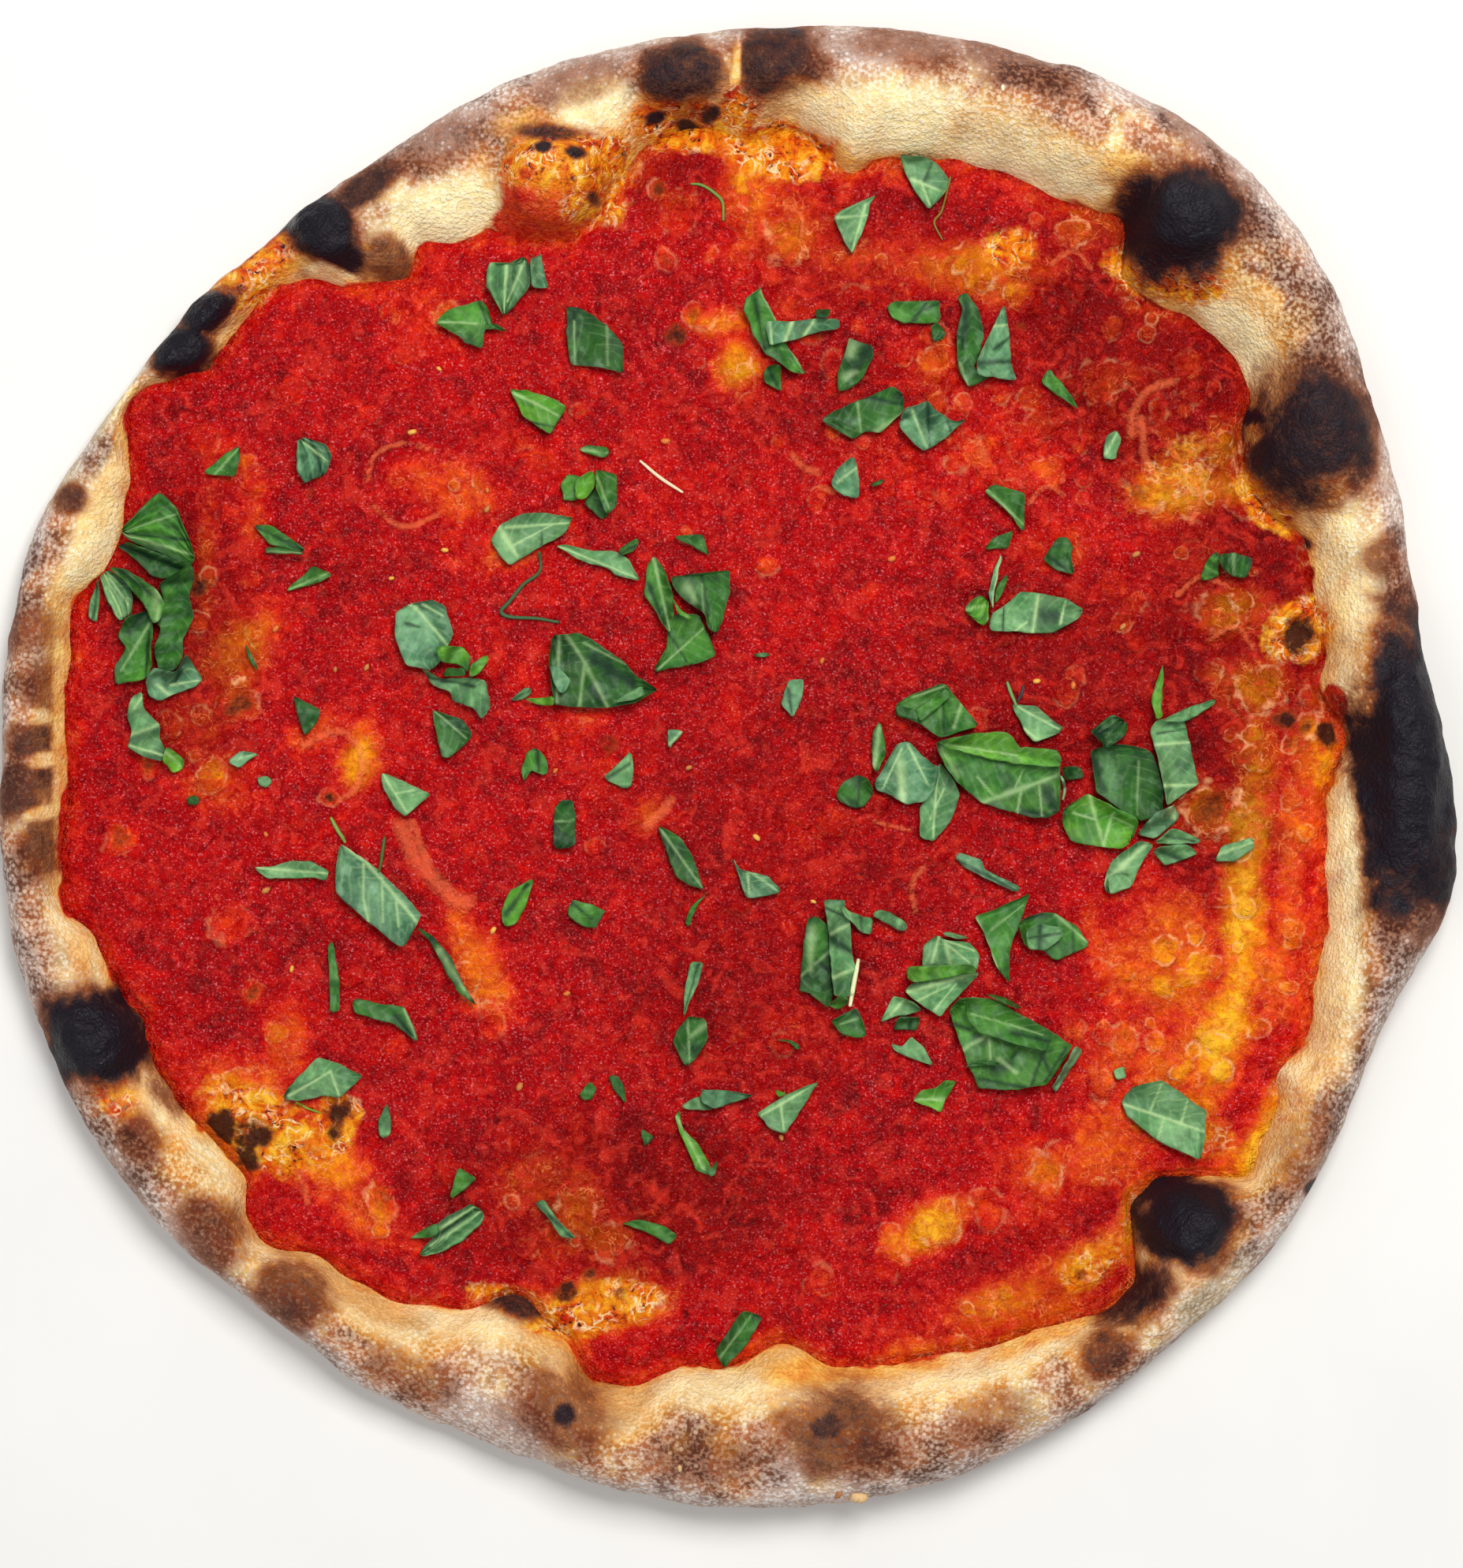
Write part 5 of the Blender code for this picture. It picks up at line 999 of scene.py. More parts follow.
def sauce_heat(points):
    """How far the sauce turns from red to orange and yellow."""
    flat = flat_points(points[:, 0], points[:, 1])
    radius, degrees = polar(points[:, 0], points[:, 1])
    ragged = 0.42 * fractal(flat, 10.0, 61, 4, 0.65)
    heat = np.zeros(len(points))
    for row in OIL_ZONES:
        distance = np.sqrt(in_oval(points[:, 0], points[:, 1], row)) + ragged
        heat = np.maximum(heat, row[5] * smooth(1.8, 0.2, distance))
    heat += 0.10 * fractal(flat, 14.0, 62, 3, 0.6)
    inside = sauce_radius(degrees) - radius + noise_sum(flat, (1.8, 6.0, 64), (0.8, 2.5, 68))
    return heat + periodic(RIM_OIL, degrees) * smooth(5.5, -0.5, inside)


def deep_share(points):
    """How far the sauce is painted darker: partly a deeper red, partly painted shade."""
    return zone_mask(flat_points(points[:, 0], points[:, 1]), DEEP_RED_AND_SHADE_ZONES, 74, 0.3, 16.0, 1.7)


def web_share(points):
    """Strength of the scorched webs."""
    return zone_mask(points, WEB_ZONES, 72, 0.3, 6.0, 1.5)


def sauce_cells(flat):
    """Distance to the nearest bubble's middle in radii, its warmth, and the scorch in it."""
    x, y = flat[:, 0], flat[:, 1]
    cell = np.full(len(flat), 2.0)
    warmth = np.zeros(len(flat))
    scorch = np.zeros(len(flat))
    rings = [(rx, ry, size, 0.3 + 0.2 * char, char) for rx, ry, size, char in SAUCE_RINGS]
    for bx, by, size, warm, char in [row + (0.0,) for row in BUBBLES] + rings:
        found = near(flat, bx, by, 2.0 * size)
        wobble = noise_sum(flat[found], (0.32, 3.6, 67), (0.14, 1.6, 70))
        distance = np.hypot(x[found] - bx, y[found] - by) / size + wobble
        nearer = distance < cell[found]
        cell[found] = np.where(nearer, distance, cell[found])
        warmth[found] = np.where(nearer, warm, warmth[found])
        scorch[found] = np.maximum(scorch[found], char * smooth(0.95, 0.15, distance))
    for sx, sy, size, strength in SCORCH_MARKS:
        found = near(flat, sx, sy, 2.2 * size)
        distance = np.hypot(x[found] - sx, y[found] - sy) / size + 0.4 * fractal(flat[found], 4.0, 69)
        scorch[found] = np.maximum(scorch[found], strength * smooth(1.5, 0.3, distance))
    return cell, warmth, scorch


def skin_depth(flat):
    """1 along the middle of each thin skin, falling to 0 at three times its half width."""
    depth = np.zeros(len(flat))
    for path, half_width in SKINS:
        way = curve_points(path, 4 * len(path)).tolist()
        for (ax, ay), (bx, by) in zip(way, way[1:]):
            found = near(flat, 0.5 * (ax + bx), 0.5 * (ay + by), 0.5 * math.hypot(bx - ax, by - ay) + 4.0)
            px, py = flat[found, 0] - ax, flat[found, 1] - ay
            along = np.clip((px * (bx - ax) + py * (by - ay)) / ((bx - ax) ** 2 + (by - ay) ** 2), 0.0, 1.0)
            distance = np.hypot(px - along * (bx - ax), py - along * (by - ay))
            depth[found] = np.maximum(depth[found], 1.0 - distance / (3.0 * half_width))
    return depth


SAUCE_GRID = 308
SAUCE_REACH = 140.0           # about how far out the sauce's edge lies
SAUCE_BOTTOM = FLOOR_HEIGHT + 0.05
SAUCE_OVERLAP = 0.9           # how far the mesh runs on past the sauce's edge
EDGE_DIP = 0.8                # how far it dips into the dough there
CLIMB_WIDTH = 3.0             # how far in from its edge the sauce is a film on the rising dough
FILM_DEPTH = 0.34
UNDER_SHARE = 0.97            # size of its underside, as a share of its top


def square_to_disc(a, b):
    """Map a square of -1 to 1 onto a disc, evenly: radius 0 to 1 and angle in degrees."""
    wide = np.abs(a) > np.abs(b)
    safe_a = np.where(np.abs(a) < 1e-9, 1e-9, a)
    safe_b = np.where(np.abs(b) < 1e-9, 1e-9, b)
    radius = np.where(wide, a, b)
    angle = np.where(wide, 0.25 * np.pi * b / safe_a, 0.5 * np.pi - 0.25 * np.pi * a / safe_b)
    return polar(radius * np.cos(angle), radius * np.sin(angle))


def sauce_top(x, y):
    """Height of the sauce's surface, which climbs the dough at its edge."""
    radius, degrees = polar(x, y)
    inside = sauce_radius(degrees) - radius
    level = SAUCE_LEVEL + sauce_relief(flat_points(x, y)) - 0.9 * smooth(7.0, -1.0, inside)
    film = dough_top(x, y) + FILM_DEPTH * smooth(0.6, CLIMB_WIDTH, inside)
    film -= EDGE_DIP * smooth(1.3, -0.4, inside)
    return np.where(inside < CLIMB_WIDTH, np.maximum(film, level - 2.5 * smooth(1.6, 0.2, inside)), level)


def make_sauce():
    """The sauce: a fine wavy top with a flat underside, one closed mesh."""
    side = np.linspace(-1.0, 1.0, SAUCE_GRID + 1)
    a, b = np.meshgrid(side, side, indexing="ij")
    share, degrees = square_to_disc(a.ravel(), b.ravel())
    around = flat_points(*from_polar(SAUCE_REACH, degrees))
    edge = sauce_radius(degrees) + SAUCE_OVERLAP + 0.5 * noise(around, 5.0, 71)
    x, y = from_polar(share * edge, degrees)
    top = np.stack((x, y, sauce_top(x, y)), axis=1)
    quads, border = grid_faces(SAUCE_GRID + 1, SAUCE_GRID + 1)
    below = top[border] * (UNDER_SHARE, UNDER_SHARE, 0.0) + (0.0, 0.0, SAUCE_BOTTOM)
    points = np.concatenate((top, below))
    lower = np.arange(len(top), len(points))
    walls = np.stack((border, lower, np.roll(lower, -1), np.roll(border, -1)), axis=-1)
    faces = np.concatenate((quads, walls)).tolist() + [lower[::-1].tolist()]
    obj = new_mesh_object("wet_sauce", points, faces)
    flat = flat_points(points[:, 0], points[:, 1])
    cell, warmth, scorch = sauce_cells(flat)
    add_values(obj, oil=sauce_heat(flat), deep=deep_share(flat), cell=cell, warmth=warmth, scorch=scorch,
               skin=skin_depth(flat), web=web_share(flat))
    return obj


# ---------------------------------------------------------------- basil

# Tone: its light and dark green, then the strength of its side veins, painted sheen, bruises and ribs.
LEAF_TONES = {
    "d": (linear(50, 102, 34), linear(22, 64, 22), 0.1, 0.18, 0.5, 0.34),
    "m": (linear(68, 126, 38), linear(36, 88, 28), 0.12, 0.16, 0.45, 0.4),
    "b": (linear(98, 156, 42), linear(52, 116, 28), 0.18, 0.1, 0.36, 0.5),
    "p": (linear(112, 156, 102), linear(64, 116, 66), 0.22, 0.2, 0.34, 0.62),
    "s": (linear(104, 150, 106), linear(54, 102, 68), 0.22, 0.4, 0.4, 0.62),
}
LEAF_VEIN = linear(184, 216, 150)
# Dark green for bruises and dark edges, and for painted shade in creases and in the troughs of waves.
LEAF_SHADE_AND_BRUISE = linear(12, 40, 26)
LEAF_PAINTED_SHEEN = linear(132, 172, 134)
MAP_CELL = 0.5                # the surface map's cells, and half its width
MAP_HALF = 172.0


class SurfaceMap:
    """The height of the topmost surface, on an even grid, for laying leaves."""

    def __init__(self):
        side = np.arange(-MAP_HALF, MAP_HALF, MAP_CELL)
        self.count = len(side)
        x, y = np.meshgrid(side, side, indexing="ij")
        x = x.ravel()
        y = y.ravel()
        radius, degrees = polar(x, y)
        inside = sauce_radius(degrees) - radius
        height = dough_top(x, y)
        in_sauce = inside > -0.9
        height[in_sauce] = np.maximum(height[in_sauce], sauce_top(x[in_sauce], y[in_sauce]))
        self.height = height.reshape(self.count, self.count)

    def cells(self, x, y):
        """Grid indexes of places."""
        column = np.clip(((x + MAP_HALF) / MAP_CELL).round().astype(int), 2, self.count - 3)
        row = np.clip(((y + MAP_HALF) / MAP_CELL).round().astype(int), 2, self.count - 3)
        return column, row

    def support(self, x, y):
        """Highest surface within a cell or two of each place."""
        column, row = self.cells(x, y)
        found = self.height[column, row]
        for a, b in ((-1, 0), (1, 0), (0, -1), (0, 1), (-1, -1), (1, 1), (-1, 1), (1, -1)):
            found = np.maximum(found, self.height[column + a, row + b])
        return found

    def raise_to(self, x, y, z):
        """Record a laid surface."""
        column, row = self.cells(x, y)
        np.maximum.at(self.height, (column, row), z)


LEAF_STEP = 0.34              # distance between a leaf's points
FLAKE_STEP = 0.42
LEAF_BODY = 0.32              # thickness of a leaf
LEAF_GAP = 0.1                # clear height under it
EASE_PASSES = 14
END_INSET = 0.12              # how far the mesh stops short of the outline's ends
CORNER_CUT = 0.45             # the most that is cut off beside a corner
LEAF_SEED = 1000
FLAKE_SEED = 500
VEIN_SPACING = 2.9
VEIN_HALF_WIDTH = 0.2
FOLD_SHADE = 0.16             # how much one side of the main rib is lighter, and the other darker
FOLD_SLOPE = 0.13             # how steeply a leaf rises from its main rib, and how far out
FOLD_REACH = 5.0


def to_mm(places):
    """Millimetres from picture units."""
    given = np.asarray(places, float).reshape(-1, 2)
    return (given - CENTRE_PIXEL) * (MM_PER_PIXEL, -MM_PER_PIXEL)


def turned(places, degrees):
    """Flat places turned about the middle."""
    cos = math.cos(math.radians(degrees))
    sin = math.sin(math.radians(degrees))
    x, y = places.T
    return np.stack((x * cos - y * sin, x * sin + y * cos), axis=1)


def cut_corners(outline):
    """An outline with its corners cut a little."""
    after = np.roll(outline, -1, axis=0)
    share = np.minimum(0.2, CORNER_CUT / np.linalg.norm(after - outline, axis=1))[:, None]
    first = outline + share * (after - outline)
    second = after + share * (outline - after)
    return np.stack((first, second), axis=1).reshape(-1, 2)


def span_across(outline, along):
    """Lowest and highest edge of an outline at places along it."""
    low = np.full(len(along), np.inf)
    high = np.full(len(along), -np.inf)
    for first, second in zip(outline, np.roll(outline, -1, axis=0)):
        left, right = (first, second) if first[0] < second[0] else (second, first)
        crossed = (along >= left[0]) & (along <= right[0])
        edge = left[1] + (right[1] - left[1]) * (along - left[0]) / max(1e-6, right[0] - left[0])
        low = np.where(crossed, np.minimum(low, edge), low)
        high = np.where(crossed, np.maximum(high, edge), high)
    return low, high


def leaf_shape(row, seed, step):
    """Flat places of a leaf's grid, with its shares along and across and its size."""
    turn, _, _, outline, _ = row
    flat = cut_corners(turned(to_mm(outline), -turn))
    start = flat[:, 0].min() + END_INSET
    length = flat[:, 0].max() - END_INSET - start
    columns = max(6, int(length / step))
    low, high = span_across(flat, start + length * np.linspace(0.0, 1.0, columns + 1))
    width = (high - low).max()
    rows = max(5, int(width / step))
    share = np.repeat(np.linspace(0.0, 1.0, columns + 1), rows + 1)
    across = np.tile(np.linspace(0.0, 1.0, rows + 1), columns + 1)
    ragged = np.stack((share * length, np.full(len(share), 7.0 * seed), across * width), axis=1)
    along = start + share * length + 0.16 * noise(ragged, 1.6, 81)
    side = np.repeat(low, rows + 1) + np.repeat(high - low, rows + 1) * across + 0.16 * noise(ragged, 1.6, 82)
    places = turned(np.stack((along, side), axis=1), turn)
    return places, share, 2.0 * across - 1.0, (length, width), (columns + 1, rows + 1)


def neighbour_mean(grid):
    """Mean of each value's four neighbours."""
    padded = np.pad(grid, 1, mode="edge")
    return (padded[:-2, 1:-1] + padded[2:, 1:-1] + padded[1:-1, :-2] + padded[1:-1, 2:]) / 4.0


def ease_up(height, grid_size, passes):
    """Smooth a grid of heights without ever going below them, then once more by half."""
    grid = height.reshape(grid_size)
    for _ in range(passes):
        grid = np.maximum(grid, neighbour_mean(grid))
    return (0.5 * (grid + neighbour_mean(grid))).ravel()


def fold_wave(waves, share, across):
    """A wave of -1 to 1, with so many folds across the length, or along it where negative."""
    return np.sin(math.pi * (2.0 * waves * share if waves > 0 else waves * across))


def leaf_ribs(places, ribs, seed):
    """Strength of a piece's pale ribs and of its dark marks, bruises and creases painted in shade, and the
    distance to either side of its main rib.
    """
    pale = np.zeros(len(places))
    dark = np.zeros(len(places))
    side = np.zeros(len(places))
    points = np.column_stack((places, np.full(len(places), 5.0 * seed)))
    wobble = 0.22 * noise(points, 2.4, 93)
    for x, y, x_end, y_end, half in ribs:
        first, second = to_mm(((x, y), (x_end, y_end)))
        run = second - first
        share = np.clip(((places - first) @ run) / (run @ run), 0.0, 1.0)
        away = np.hypot(*(places - first - share[:, None] * run).T) + wobble * min(1.0, 2.0 * abs(half))
        reach = abs(half) * (1.15 - 0.5 * share)
        strength = np.exp(-(np.maximum(0.0, away) / (reach + 0.08)) ** 2)
        if half > 0.0:
            if not pale.any():
                side = (places - first) @ np.array((-run[1], run[0])) / np.linalg.norm(run)
            pale = np.maximum(pale, strength)
        else:
            dark = np.maximum(dark, strength)
    return pale, dark, side


def leaf_colours(row, places, share, across, size, seed):
    """Colours of a piece's upper face, with its pale ribs, its bruises, painted shade in its creases and wave
    troughs, painted light and shade on the halves of its fold, and a painted sheen.
    """
    _, tone, waves, _, ribs = row
    light, dark_green, vein_strength, gloss, bruising, rib_strength = LEAF_TONES[tone]
    points = np.column_stack((places, np.full(len(places), 9.0 * seed)))
    cloud = 0.5 + 0.62 * np.clip(fractal(points, 4.6, 91, 3), -0.8, 0.8)
    colour = mix(light, dark_green, cloud) * (1.0 + 0.2 * noise(points, 0.7, 92))[:, None]
    off = 0.5 * size[1] * np.abs(across - 0.2)
    place = (share * size[0] - 0.9 * off + 0.7 * noise(points, 4.0, 96)) / VEIN_SPACING + 0.37 * seed
    side_veins = np.exp(-((place - np.round(place)) * VEIN_SPACING / VEIN_HALF_WIDTH) ** 2)
    pale, dark, main_side = leaf_ribs(places, ribs, seed)
    # Painted light and shade: one half of the leaf beside its main rib lighter, the other darker, as light
    # falls on the fold.
    fold = FOLD_SHADE if seed % 2 else -FOLD_SHADE
    colour = colour * (1.0 + fold * np.tanh(main_side / 0.5))[:, None]
    colour = mix(colour, LEAF_VEIN, vein_strength * side_veins)
    # Painted sheen: pale patches standing for light reflected off the waxy leaf.
    colour = mix(colour, LEAF_PAINTED_SHEEN, gloss * smooth(0.2, 0.62, fractal(points, 2.3, 97, 3)))
    colour = mix(colour, LEAF_SHADE_AND_BRUISE, bruising * smooth(0.3, 0.7, fractal(points, 3.6, 95, 3)))
    # Painted shade in the troughs of the waves.
    if waves:
        trough = 0.5 - 0.5 * fold_wave(waves, share, across)
        colour = mix(colour, LEAF_SHADE_AND_BRUISE, 0.5 * trough ** 2)
    # Dark bruises, and painted shade in the creases.
    colour = mix(colour, LEAF_SHADE_AND_BRUISE, 0.85 * dark)
    colour = mix(colour, LEAF_VEIN, rib_strength * pale)
    rim = smooth(0.8, 1.0, np.maximum(np.abs(across), np.abs(2.0 * share - 1.0)))
    return mix(colour, LEAF_SHADE_AND_BRUISE, 0.3 * rim * (1.0 - pale)), pale, dark, main_side


def leaf_solid(row, seed, surface, step=LEAF_STEP):
    """Points, faces and colours of one basil piece, laid on the surface."""
    _, tone, waves, _, _ = row
    places, share, across, size, grid_size = leaf_shape(row, seed, step)
    draw = np.random.default_rng(LEAF_SEED + seed)
    height = ease_up(surface.support(places[:, 0], places[:, 1]) + LEAF_GAP, grid_size, EASE_PASSES)
    tip = draw.uniform(0.02, 0.07) * size[0]
    edge = draw.uniform(0.02, 0.1) * size[1]
    height += tip * np.maximum(0.0, 2.0 * share - 1.0) ** 2 + edge * across ** 2
    height += 0.2 * (1.0 + np.sin(9.0 * share + 3.0 * across + draw.uniform(0.0, 6.0)))
    points = np.column_stack((places, np.full(len(places), 9.0 * seed)))
    height += 0.24 * (1.0 + noise(points, 3.2, 85)) + 0.07 * noise(points, 1.1, 86)
    colour, pale, dark, main_side = leaf_colours(row, places, share, across, size, seed)
    height += 0.2 + 0.18 * pale - 0.2 * dark + FOLD_SLOPE * np.minimum(np.abs(main_side), FOLD_REACH)
    if waves:
        height += 0.4 * (1.0 + fold_wave(waves, share, across))
    top = np.column_stack((places, height + LEAF_BODY))
    bottom = np.column_stack((places, height))
    surface.raise_to(places[:, 0], places[:, 1], height + LEAF_BODY)
    quads, border = grid_faces(*grid_size)
    count = len(top)
    after = np.roll(border, -1)
    walls = np.stack((border, border + count, after + count, after), axis=-1)
    faces = np.concatenate((quads, quads[:, ::-1] + count, walls))
    under = mix(colour, LEAF_TONES["m" if tone in "ps" else "p"][0], np.full(count, 0.65))
    return np.concatenate((top, bottom)), faces, np.concatenate((colour, under))


def make_leaves(material, surface):
    """Each larger basil piece as an object of its own."""
    for index, row in enumerate(LEAVES):
        points, faces, colour = leaf_solid(row, index, surface)
        obj = new_mesh_object("basil_leaf_%02d" % (index + 1), points, faces.tolist())
        add_colour(obj, "tone", colour)
        place_piece(obj, material)
        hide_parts("basil_%02d" % (index + 1))


def join_parts(name, parts):
    """One object from several (points, faces, colours) parts."""
    faces = []
    start = 0
    for part_points, part_faces, _ in parts:
        faces += [[corner + start for corner in face] for face in part_faces]
        start += len(part_points)
    obj = new_mesh_object(name, np.concatenate([part[0] for part in parts]), faces)
    add_colour(obj, "tone", np.concatenate([part[2] for part in parts]))
    return obj


def make_flakes(material, surface):
    """The smaller basil pieces, all in one object."""
    parts = []
    for index, row in enumerate(FLAKES):
        points, faces, colour = leaf_solid(row, FLAKE_SEED + index, surface, FLAKE_STEP)
        parts.append((points, faces.tolist(), colour))
    place_piece(join_parts("basil_flakes", parts), material)


# ---------------------------------------------------------------- seeds, stems and crumbs

SEED_TONES = (linear(226, 168, 74), linear(208, 112, 50), linear(190, 120, 62))
CRUMB_TONES = (linear(214, 178, 128), linear(168, 112, 68), linear(240, 226, 196))
BLOB_RINGS = 6
BLOB_SIDES = 10
BLOB_SHAPE = (0.5, 0.31, 0.3)     # half its length, width and height, as shares of its size
SEED_SIZES = (1.3, 2.2)
SEED_DRAW = 31
FIRST_SEED_BLOB = 900
FIRST_CRUMB_BLOB = 950
STEM_SIDES = 8


def ring_faces(rings, sides):
    """Faces of a closed tube of rings with a point at either end."""
    faces = []
    last = 1 + (rings - 1) * sides
    for side in range(sides):
        after = (side + 1) % sides
        faces.append((0, 1 + after, 1 + side))
        for ring in range(rings - 1):
            a = 1 + ring * sides
            faces.append((a + side, a + after, a + sides + after, a + sides + side))
        faces.append((last + side, last + after, 1 + rings * sides))
    return faces


def blob(place, size, turn, colour, seed):
    """A small uneven drop shape."""
    draw = np.random.default_rng(seed)
    polar_angle = np.repeat(math.pi * np.arange(1, BLOB_RINGS) / BLOB_RINGS, BLOB_SIDES)
    round_angle = np.tile(math.tau * np.arange(BLOB_SIDES) / BLOB_SIDES, BLOB_RINGS - 1)
    swell = np.sin(polar_angle) * (1.0 + 0.18 * draw.uniform(-1.0, 1.0, len(polar_angle)))
    body = np.stack((swell * np.cos(round_angle), swell * np.sin(round_angle), -np.cos(polar_angle)), axis=1)
    points = np.concatenate((((0.0, 0.0, -1.0),), body, ((0.0, 0.0, 1.0),))) * size * BLOB_SHAPE
    points[:, :2] = turned(points[:, :2], turn)
    return points + place, ring_faces(BLOB_RINGS - 1, BLOB_SIDES), np.tile(colour, (len(points), 1))


def stem(path, thickness, colour, surface):
    """A thin stem along a smooth path that lies on the surface."""
    way = curve_points(to_mm(path), 8 * len(path))
    height = surface.support(way[:, 0], way[:, 1]) + 0.35 * thickness
    height = np.convolve(np.pad(height, 3, mode="edge"), np.ones(7) / 7.0, mode="valid")
    ahead = np.gradient(way, axis=0)
    ahead /= np.linalg.norm(ahead, axis=1)[:, None]
    angle = math.tau * np.arange(STEM_SIDES) / STEM_SIDES
    taper = 0.5 * thickness * (0.55 + 0.45 * np.sin(math.pi * np.linspace(0.1, 0.9, len(way))))
    out = taper[:, None] * np.cos(angle)
    rings = np.stack((way[:, :1] - ahead[:, 1:] * out, way[:, 1:] + ahead[:, :1] * out,
                      height[:, None] + taper[:, None] * np.sin(angle)), axis=-1).reshape(-1, 3)
    ends = np.column_stack((way[[0, -1]] + 0.2 * ahead[[0, -1]] * ((-1.0,), (1.0,)), height[[0, -1]]))
    points = np.concatenate((ends[:1], rings, ends[1:]))
    return points, ring_faces(len(way), STEM_SIDES), np.tile(colour, (len(points), 1))


def place_piece(obj, material):
    """Give a piece its material and put it in the frame."""
    obj.data.materials.append(material)
    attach(obj, "root")


def make_seeds(material, surface):
    """The tomato's seeds and pale flecks on the sauce."""
    draw = np.random.default_rng(SEED_DRAW)
    parts = []
    for index, (x, y, turn) in enumerate(SEEDS):
        height = surface.support(np.array([x]), np.array([y]))[0]
        colour = SEED_TONES[index % len(SEED_TONES)]
        size = draw.uniform(*SEED_SIZES)
        parts.append(blob((x, y, height + 0.05), size, turn, colour, FIRST_SEED_BLOB + index))
    place_piece(join_parts("tomato_seeds", parts), material)


def make_stems(material, surface):
    """The thin stems and curled slivers of basil."""
    parts = [stem(path, thickness, linear(*colour), surface) for path, thickness, colour in STEMS]
    place_piece(join_parts("basil_stems", parts), material)


def make_crumbs(material, surface):
    """The crumbs on the rim."""
    parts = []
    for index, (degrees, share, size) in enumerate(CRUMBS):
        edge = sauce_radius(degrees)
        x, y = from_polar(edge + share * (outline_radius(degrees) - edge), degrees)
        height = surface.support(np.array([x]), np.array([y]))[0] - 0.05 * size
        colour = CRUMB_TONES[index % len(CRUMB_TONES)]
        parts.append(blob((x, y, height), size, 47 * index, colour, FIRST_CRUMB_BLOB + index))
    place_piece(join_parts("crust_crumbs", parts), material)


# ---------------------------------------------------------------- materials

# Screen colours, 0 to 255. The ramps give the place of each colour too.
WEB_RAMP = ((0.32, (172, 30, 8)), (0.42, (202, 78, 10)), (0.52, (218, 122, 14)), (0.64, (236, 172, 44)))
WEB_THREAD = (250, 222, 170)
WEB_CHAR = (50, 26, 20)
SAUCE_RAMP = (
    (0.0, (104, 0, 4)), (0.09, (130, 0, 6)), (0.17, (152, 0, 6)), (0.26, (168, 2, 2)), (0.36, (184, 22, 4)),
    (0.50, (200, 60, 8)), (0.66, (208, 92, 4)), (0.84, (222, 136, 8)), (1.0, (236, 174, 34)))
# Darkens the deep zones: partly a deeper red, partly painted shade.
DEEP_RED_AND_SHADE_TINT = (190, 166, 160)
TOMATO_FLESH = (216, 50, 32)
# A painted wet sheen: pinkish light reflected off the wet sauce.
PAINTED_WET_SHEEN = (226, 68, 70)
OILY_LINE = (244, 150, 84)
DARK_GRAIN = (112, 0, 10)
# Painted glints: pink-white highlights on the wet sauce.
PAINTED_WET_GLINT = (246, 146, 152)
BUBBLE_WALL = (248, 184, 130)
TOMATO_SKIN = (236, 112, 68)
SCORCH_BROWN = (124, 52, 18)
SCORCH_BLACK = (40, 20, 16)
OILED_DOUGH_RAMP = ((0.36, (222, 124, 34)), (0.5, (234, 164, 62)), (0.64, (244, 204, 112)))
BROWNED_TINT = (176, 132, 112)
# The blackest char tone is tinted faintly blue, a painted sheen of sky light on the char.
CHAR_TONES = (
    (0.38, 0.66, 0.8, (78, 44, 34)),
    (0.56, 0.76, 1.0, (46, 25, 26)),
    (0.70, 0.92, 1.0, (22, 18, 26)),
)
CHAR_FLECK = (176, 118, 82)
UNDER_SCORCH = (96, 58, 36)
FLOUR = (238, 228, 208)


def add_node(tree, kind, **values):
    """Add a node and set its properties and input values."""
    node = tree.nodes.new(kind)
    for name, value in values.items():
        if name.startswith("in_"):
            key = name[3:].replace("_", " ")
            node.inputs[int(key) if key.isdigit() else key].default_value = value
        else:
            setattr(node, name, value)
    return node


def new_material(name, roughness):
    """A Principled material; returns it with its tree and shader."""
    material = bpy.data.materials.new(name)
    material.use_nodes = True
    tree = material.node_tree
    shader = tree.nodes["Principled BSDF"]
    shader.inputs["Roughness"].default_value = roughness
    return material, tree, shader


def attribute(tree, name, output="Fac"):
    """A vertex attribute's value or colour."""
    return add_node(tree, "ShaderNodeAttribute", attribute_name=name).outputs[output]


def object_place(tree):
    """The place in the object's own coordinates."""
    return add_node(tree, "ShaderNodeTexCoord").outputs["Object"]


def noise_value(tree, size, detail=3.0, rough=0.6, swirl=0.0):
    """Noise over the object's own coordinates, with lumps of size millimetres."""
    node = add_node(tree, "ShaderNodeTexNoise", in_Scale=1.0 / (size * MM), in_Detail=detail,
                    in_Roughness=rough, in_Distortion=swirl)
    tree.links.new(object_place(tree), node.inputs["Vector"])
    return node.outputs["Fac"]


def cell_dots(tree, size, reach, share):
    """Round dots, one in some of the cells of a pattern of size millimetres, as a mask."""
    cells = add_node(tree, "ShaderNodeTexVoronoi", in_Scale=1.0 / (size * MM))
    tree.links.new(object_place(tree), cells.inputs["Vector"])
    split = add_node(tree, "ShaderNodeSeparateColor")
    tree.links.new(cells.outputs["Color"], split.inputs[0])
    dot = spread(tree, cells.outputs["Distance"], reach, 0.5 * reach)
    return product(tree, dot, spread(tree, split.outputs[0], share + 0.05, share - 0.05))


def calc(tree, operation, first, second=0.0):
    """A maths node on links or numbers."""
    node = add_node(tree, "ShaderNodeMath", operation=operation)
    for index, value in enumerate((first, second)):
        if isinstance(value, (int, float)):
            node.inputs[index].default_value = value
        else:
            tree.links.new(value, node.inputs[index])
    return node.outputs[0]


